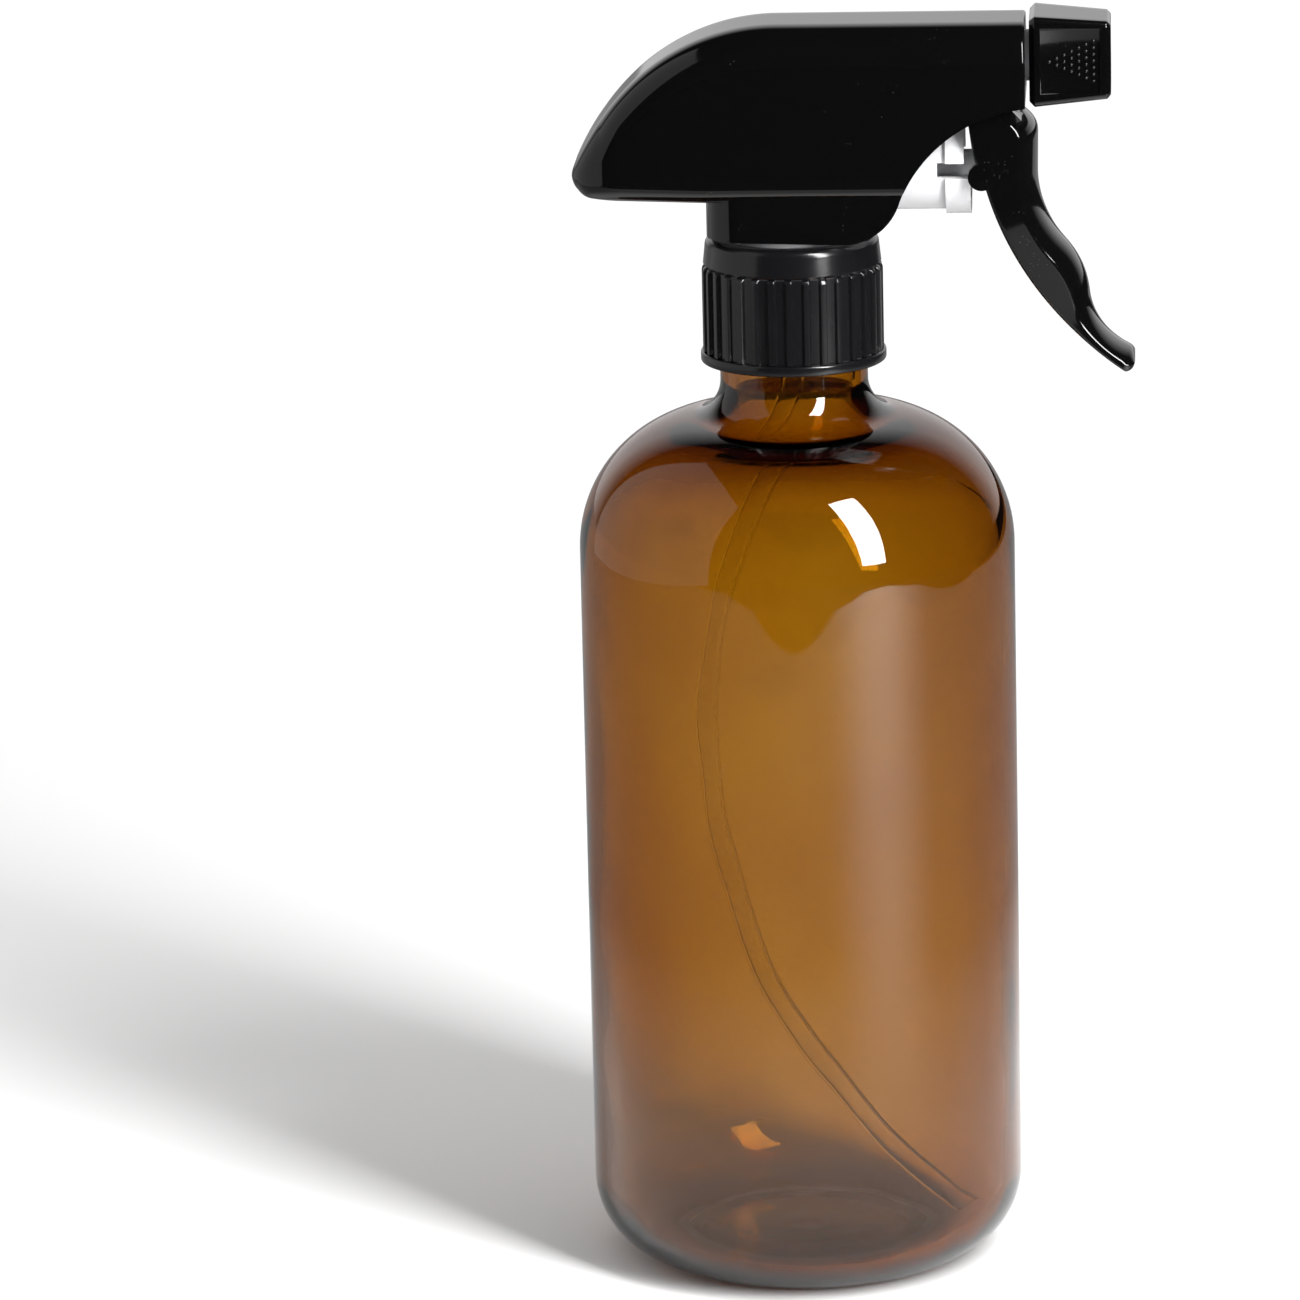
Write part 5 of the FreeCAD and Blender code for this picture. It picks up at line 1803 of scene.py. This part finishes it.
@dataclass
class Studio:
    """The pale table, the room's light and the lamps."""

    table_size: float = 12.0
    table_grey: float = 0.84
    painted_shade_grey: float = 0.02
    front_edge: float = 0.47
    right_edge: float = 0.53
    edge_fade: float = 0.02
    room_light: float = 0.60
    far_glow: float = 0.45
    dark_side: float = 0.02
    back_light: float = 1.1
    back_from: float = 0.66
    back_full: float = 0.86
    bright_direction: float = 45.0
    bright_spread: float = 0.55
    table_shade: float = 0.68
    near_ring: float = 0.12

    def shade(
        self, tree: bpy.types.NodeTree, x: bpy.types.NodeSocket, y: bpy.types.NodeSocket
    ) -> bpy.types.NodeSocket:
        """How much painted shade the table shows in reflections, which never see it as evenly lit.

        Args:
            tree: The table's nodes.
            x: How far to the right a point is.
            y: How far back it is.

        Returns:
            Nought where it looks white, and one where it looks dark.
        """
        front = ranged(tree, y, (-self.front_edge, 0), (-self.front_edge - self.edge_fade, 1))
        right = ranged(tree, x, (self.right_edge, 0), (self.right_edge + self.edge_fade, 1))
        towards = maths(tree, "ARCTAN2", x, maths(tree, "MULTIPLY", y, -1.0))
        off = maths(tree, "SUBTRACT", towards, math.radians(self.bright_direction))
        aside = maths(tree, "ABSOLUTE", off)
        # Painted shade: the table looks darker in reflections the further it lies from the key's bright
        # patch.
        shaded = ranged(tree, aside, (0, 0), (self.bright_spread, self.table_shade), smooth=True)
        path = tree.nodes.new("ShaderNodeLightPath")
        reflected = maths(tree, "SUBTRACT", 1.0, path.outputs["Is Transmission Ray"])
        shaded = maths(tree, "MULTIPLY", shaded, reflected)
        squares = maths(tree, "ADD", maths(tree, "MULTIPLY", x, x), maths(tree, "MULTIPLY", y, y))
        distance = maths(tree, "SQRT", squares)
        beyond = ranged(tree, distance, (self.near_ring, 0), (2 * self.near_ring, 1))
        shaded = maths(tree, "MULTIPLY", shaded, beyond)
        past = maths(tree, "MAXIMUM", maths(tree, "MAXIMUM", front, right), shaded)
        return maths(tree, "MULTIPLY", past, path.outputs["Is Glossy Ray"])

    def table(self) -> None:
        """The white table, which shows painted shade to glossy reflections past its front and right edges
        and away from the key's bright patch.
        """
        deselect()
        bpy.ops.mesh.primitive_plane_add(size=self.table_size, location=(0, 0, 0))
        table = bpy.context.object
        table.name = "pale_table"
        material, tree = clear_nodes("pale_table_top")
        nodes, links = tree.nodes, tree.links
        white = nodes.new("ShaderNodeBsdfPrincipled")
        fill_in(white, {
            "Base Color": (self.table_grey, self.table_grey, self.table_grey, 1),
            "Roughness": 1.0,
            "Specular IOR Level": 0.0,
            "Emission Color": (1, 1, 1, 1),
        })
        # Painted shade: a near-black sheet that glossy reflections see past the table's edges and, away from
        # the key's bright patch, on the table itself.
        dark = nodes.new("ShaderNodeBsdfDiffuse")
        dark.inputs["Color"].default_value = (self.painted_shade_grey, self.painted_shade_grey, self.painted_shade_grey, 1)
        split = nodes.new("ShaderNodeSeparateXYZ")
        links.new(nodes.new("ShaderNodeTexCoord").outputs["Object"], split.inputs["Vector"])
        x, y = split.outputs["X"], split.outputs["Y"]
        links.new(ranged(tree, y, (0, 0), (1, self.far_glow)), white.inputs["Emission Strength"])
        seen = mixed(tree, self.shade(tree, x, y), white.outputs["BSDF"], dark.outputs["BSDF"])
        links.new(seen, nodes["Material Output"].inputs["Surface"])
        table.data.materials.append(material)

    def room(self) -> None:
        """Soft light from all round, which reflections see only behind the table."""
        world = bpy.data.worlds.new("studio_room")
        bpy.context.scene.world = world
        world.use_nodes = True
        tree = world.node_tree
        nodes, links = tree.nodes, tree.links
        nodes.clear()
        output = nodes.new("ShaderNodeOutputWorld")
        light = nodes.new("ShaderNodeBackground")
        fill_in(light, {"Color": (1, 1, 1, 1), "Strength": self.room_light})
        behind = nodes.new("ShaderNodeBackground")
        split = nodes.new("ShaderNodeSeparateXYZ")
        links.new(nodes.new("ShaderNodeTexCoord").outputs["Generated"], split.inputs["Vector"])
        start, stop = (self.back_from, self.dark_side), (self.back_full, self.back_light)
        links.new(ranged(tree, split.outputs["Y"], start, stop), behind.inputs["Strength"])
        glossy = nodes.new("ShaderNodeLightPath").outputs["Is Glossy Ray"]
        seen = mixed(tree, glossy, light.outputs["Background"], behind.outputs["Background"])
        links.new(seen, output.inputs["Surface"])

    def build(self) -> None:
        """Sets up the table, the room and the lamps."""
        self.table()
        self.room()
        KEY_SOFTBOX.build()
        LEFT_BOARD.build()
        bpy.context.scene.view_settings.view_transform = "Standard"


# ---------------------------------------------------------------- the whole object


def dress_frame(frame: dict) -> None:
    """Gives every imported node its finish."""
    for name, finish in NODE_FINISH.items():
        dress(frame["nodes"][name], finish)


def main() -> None:
    """Builds the bottle's looks piece by piece."""
    logging.basicConfig(level=logging.INFO)
    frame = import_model()
    Viewpoint().build()
    Studio().build()
    dress_frame(frame)
    for maker in (Bottle(), Closure(), Shroud(), Trigger(), Nozzle()):
        piece = maker.build()
        LOG.info("%s: %d faces", piece.name, len(piece.data.polygons))


if __name__ == "__main__":
    main()
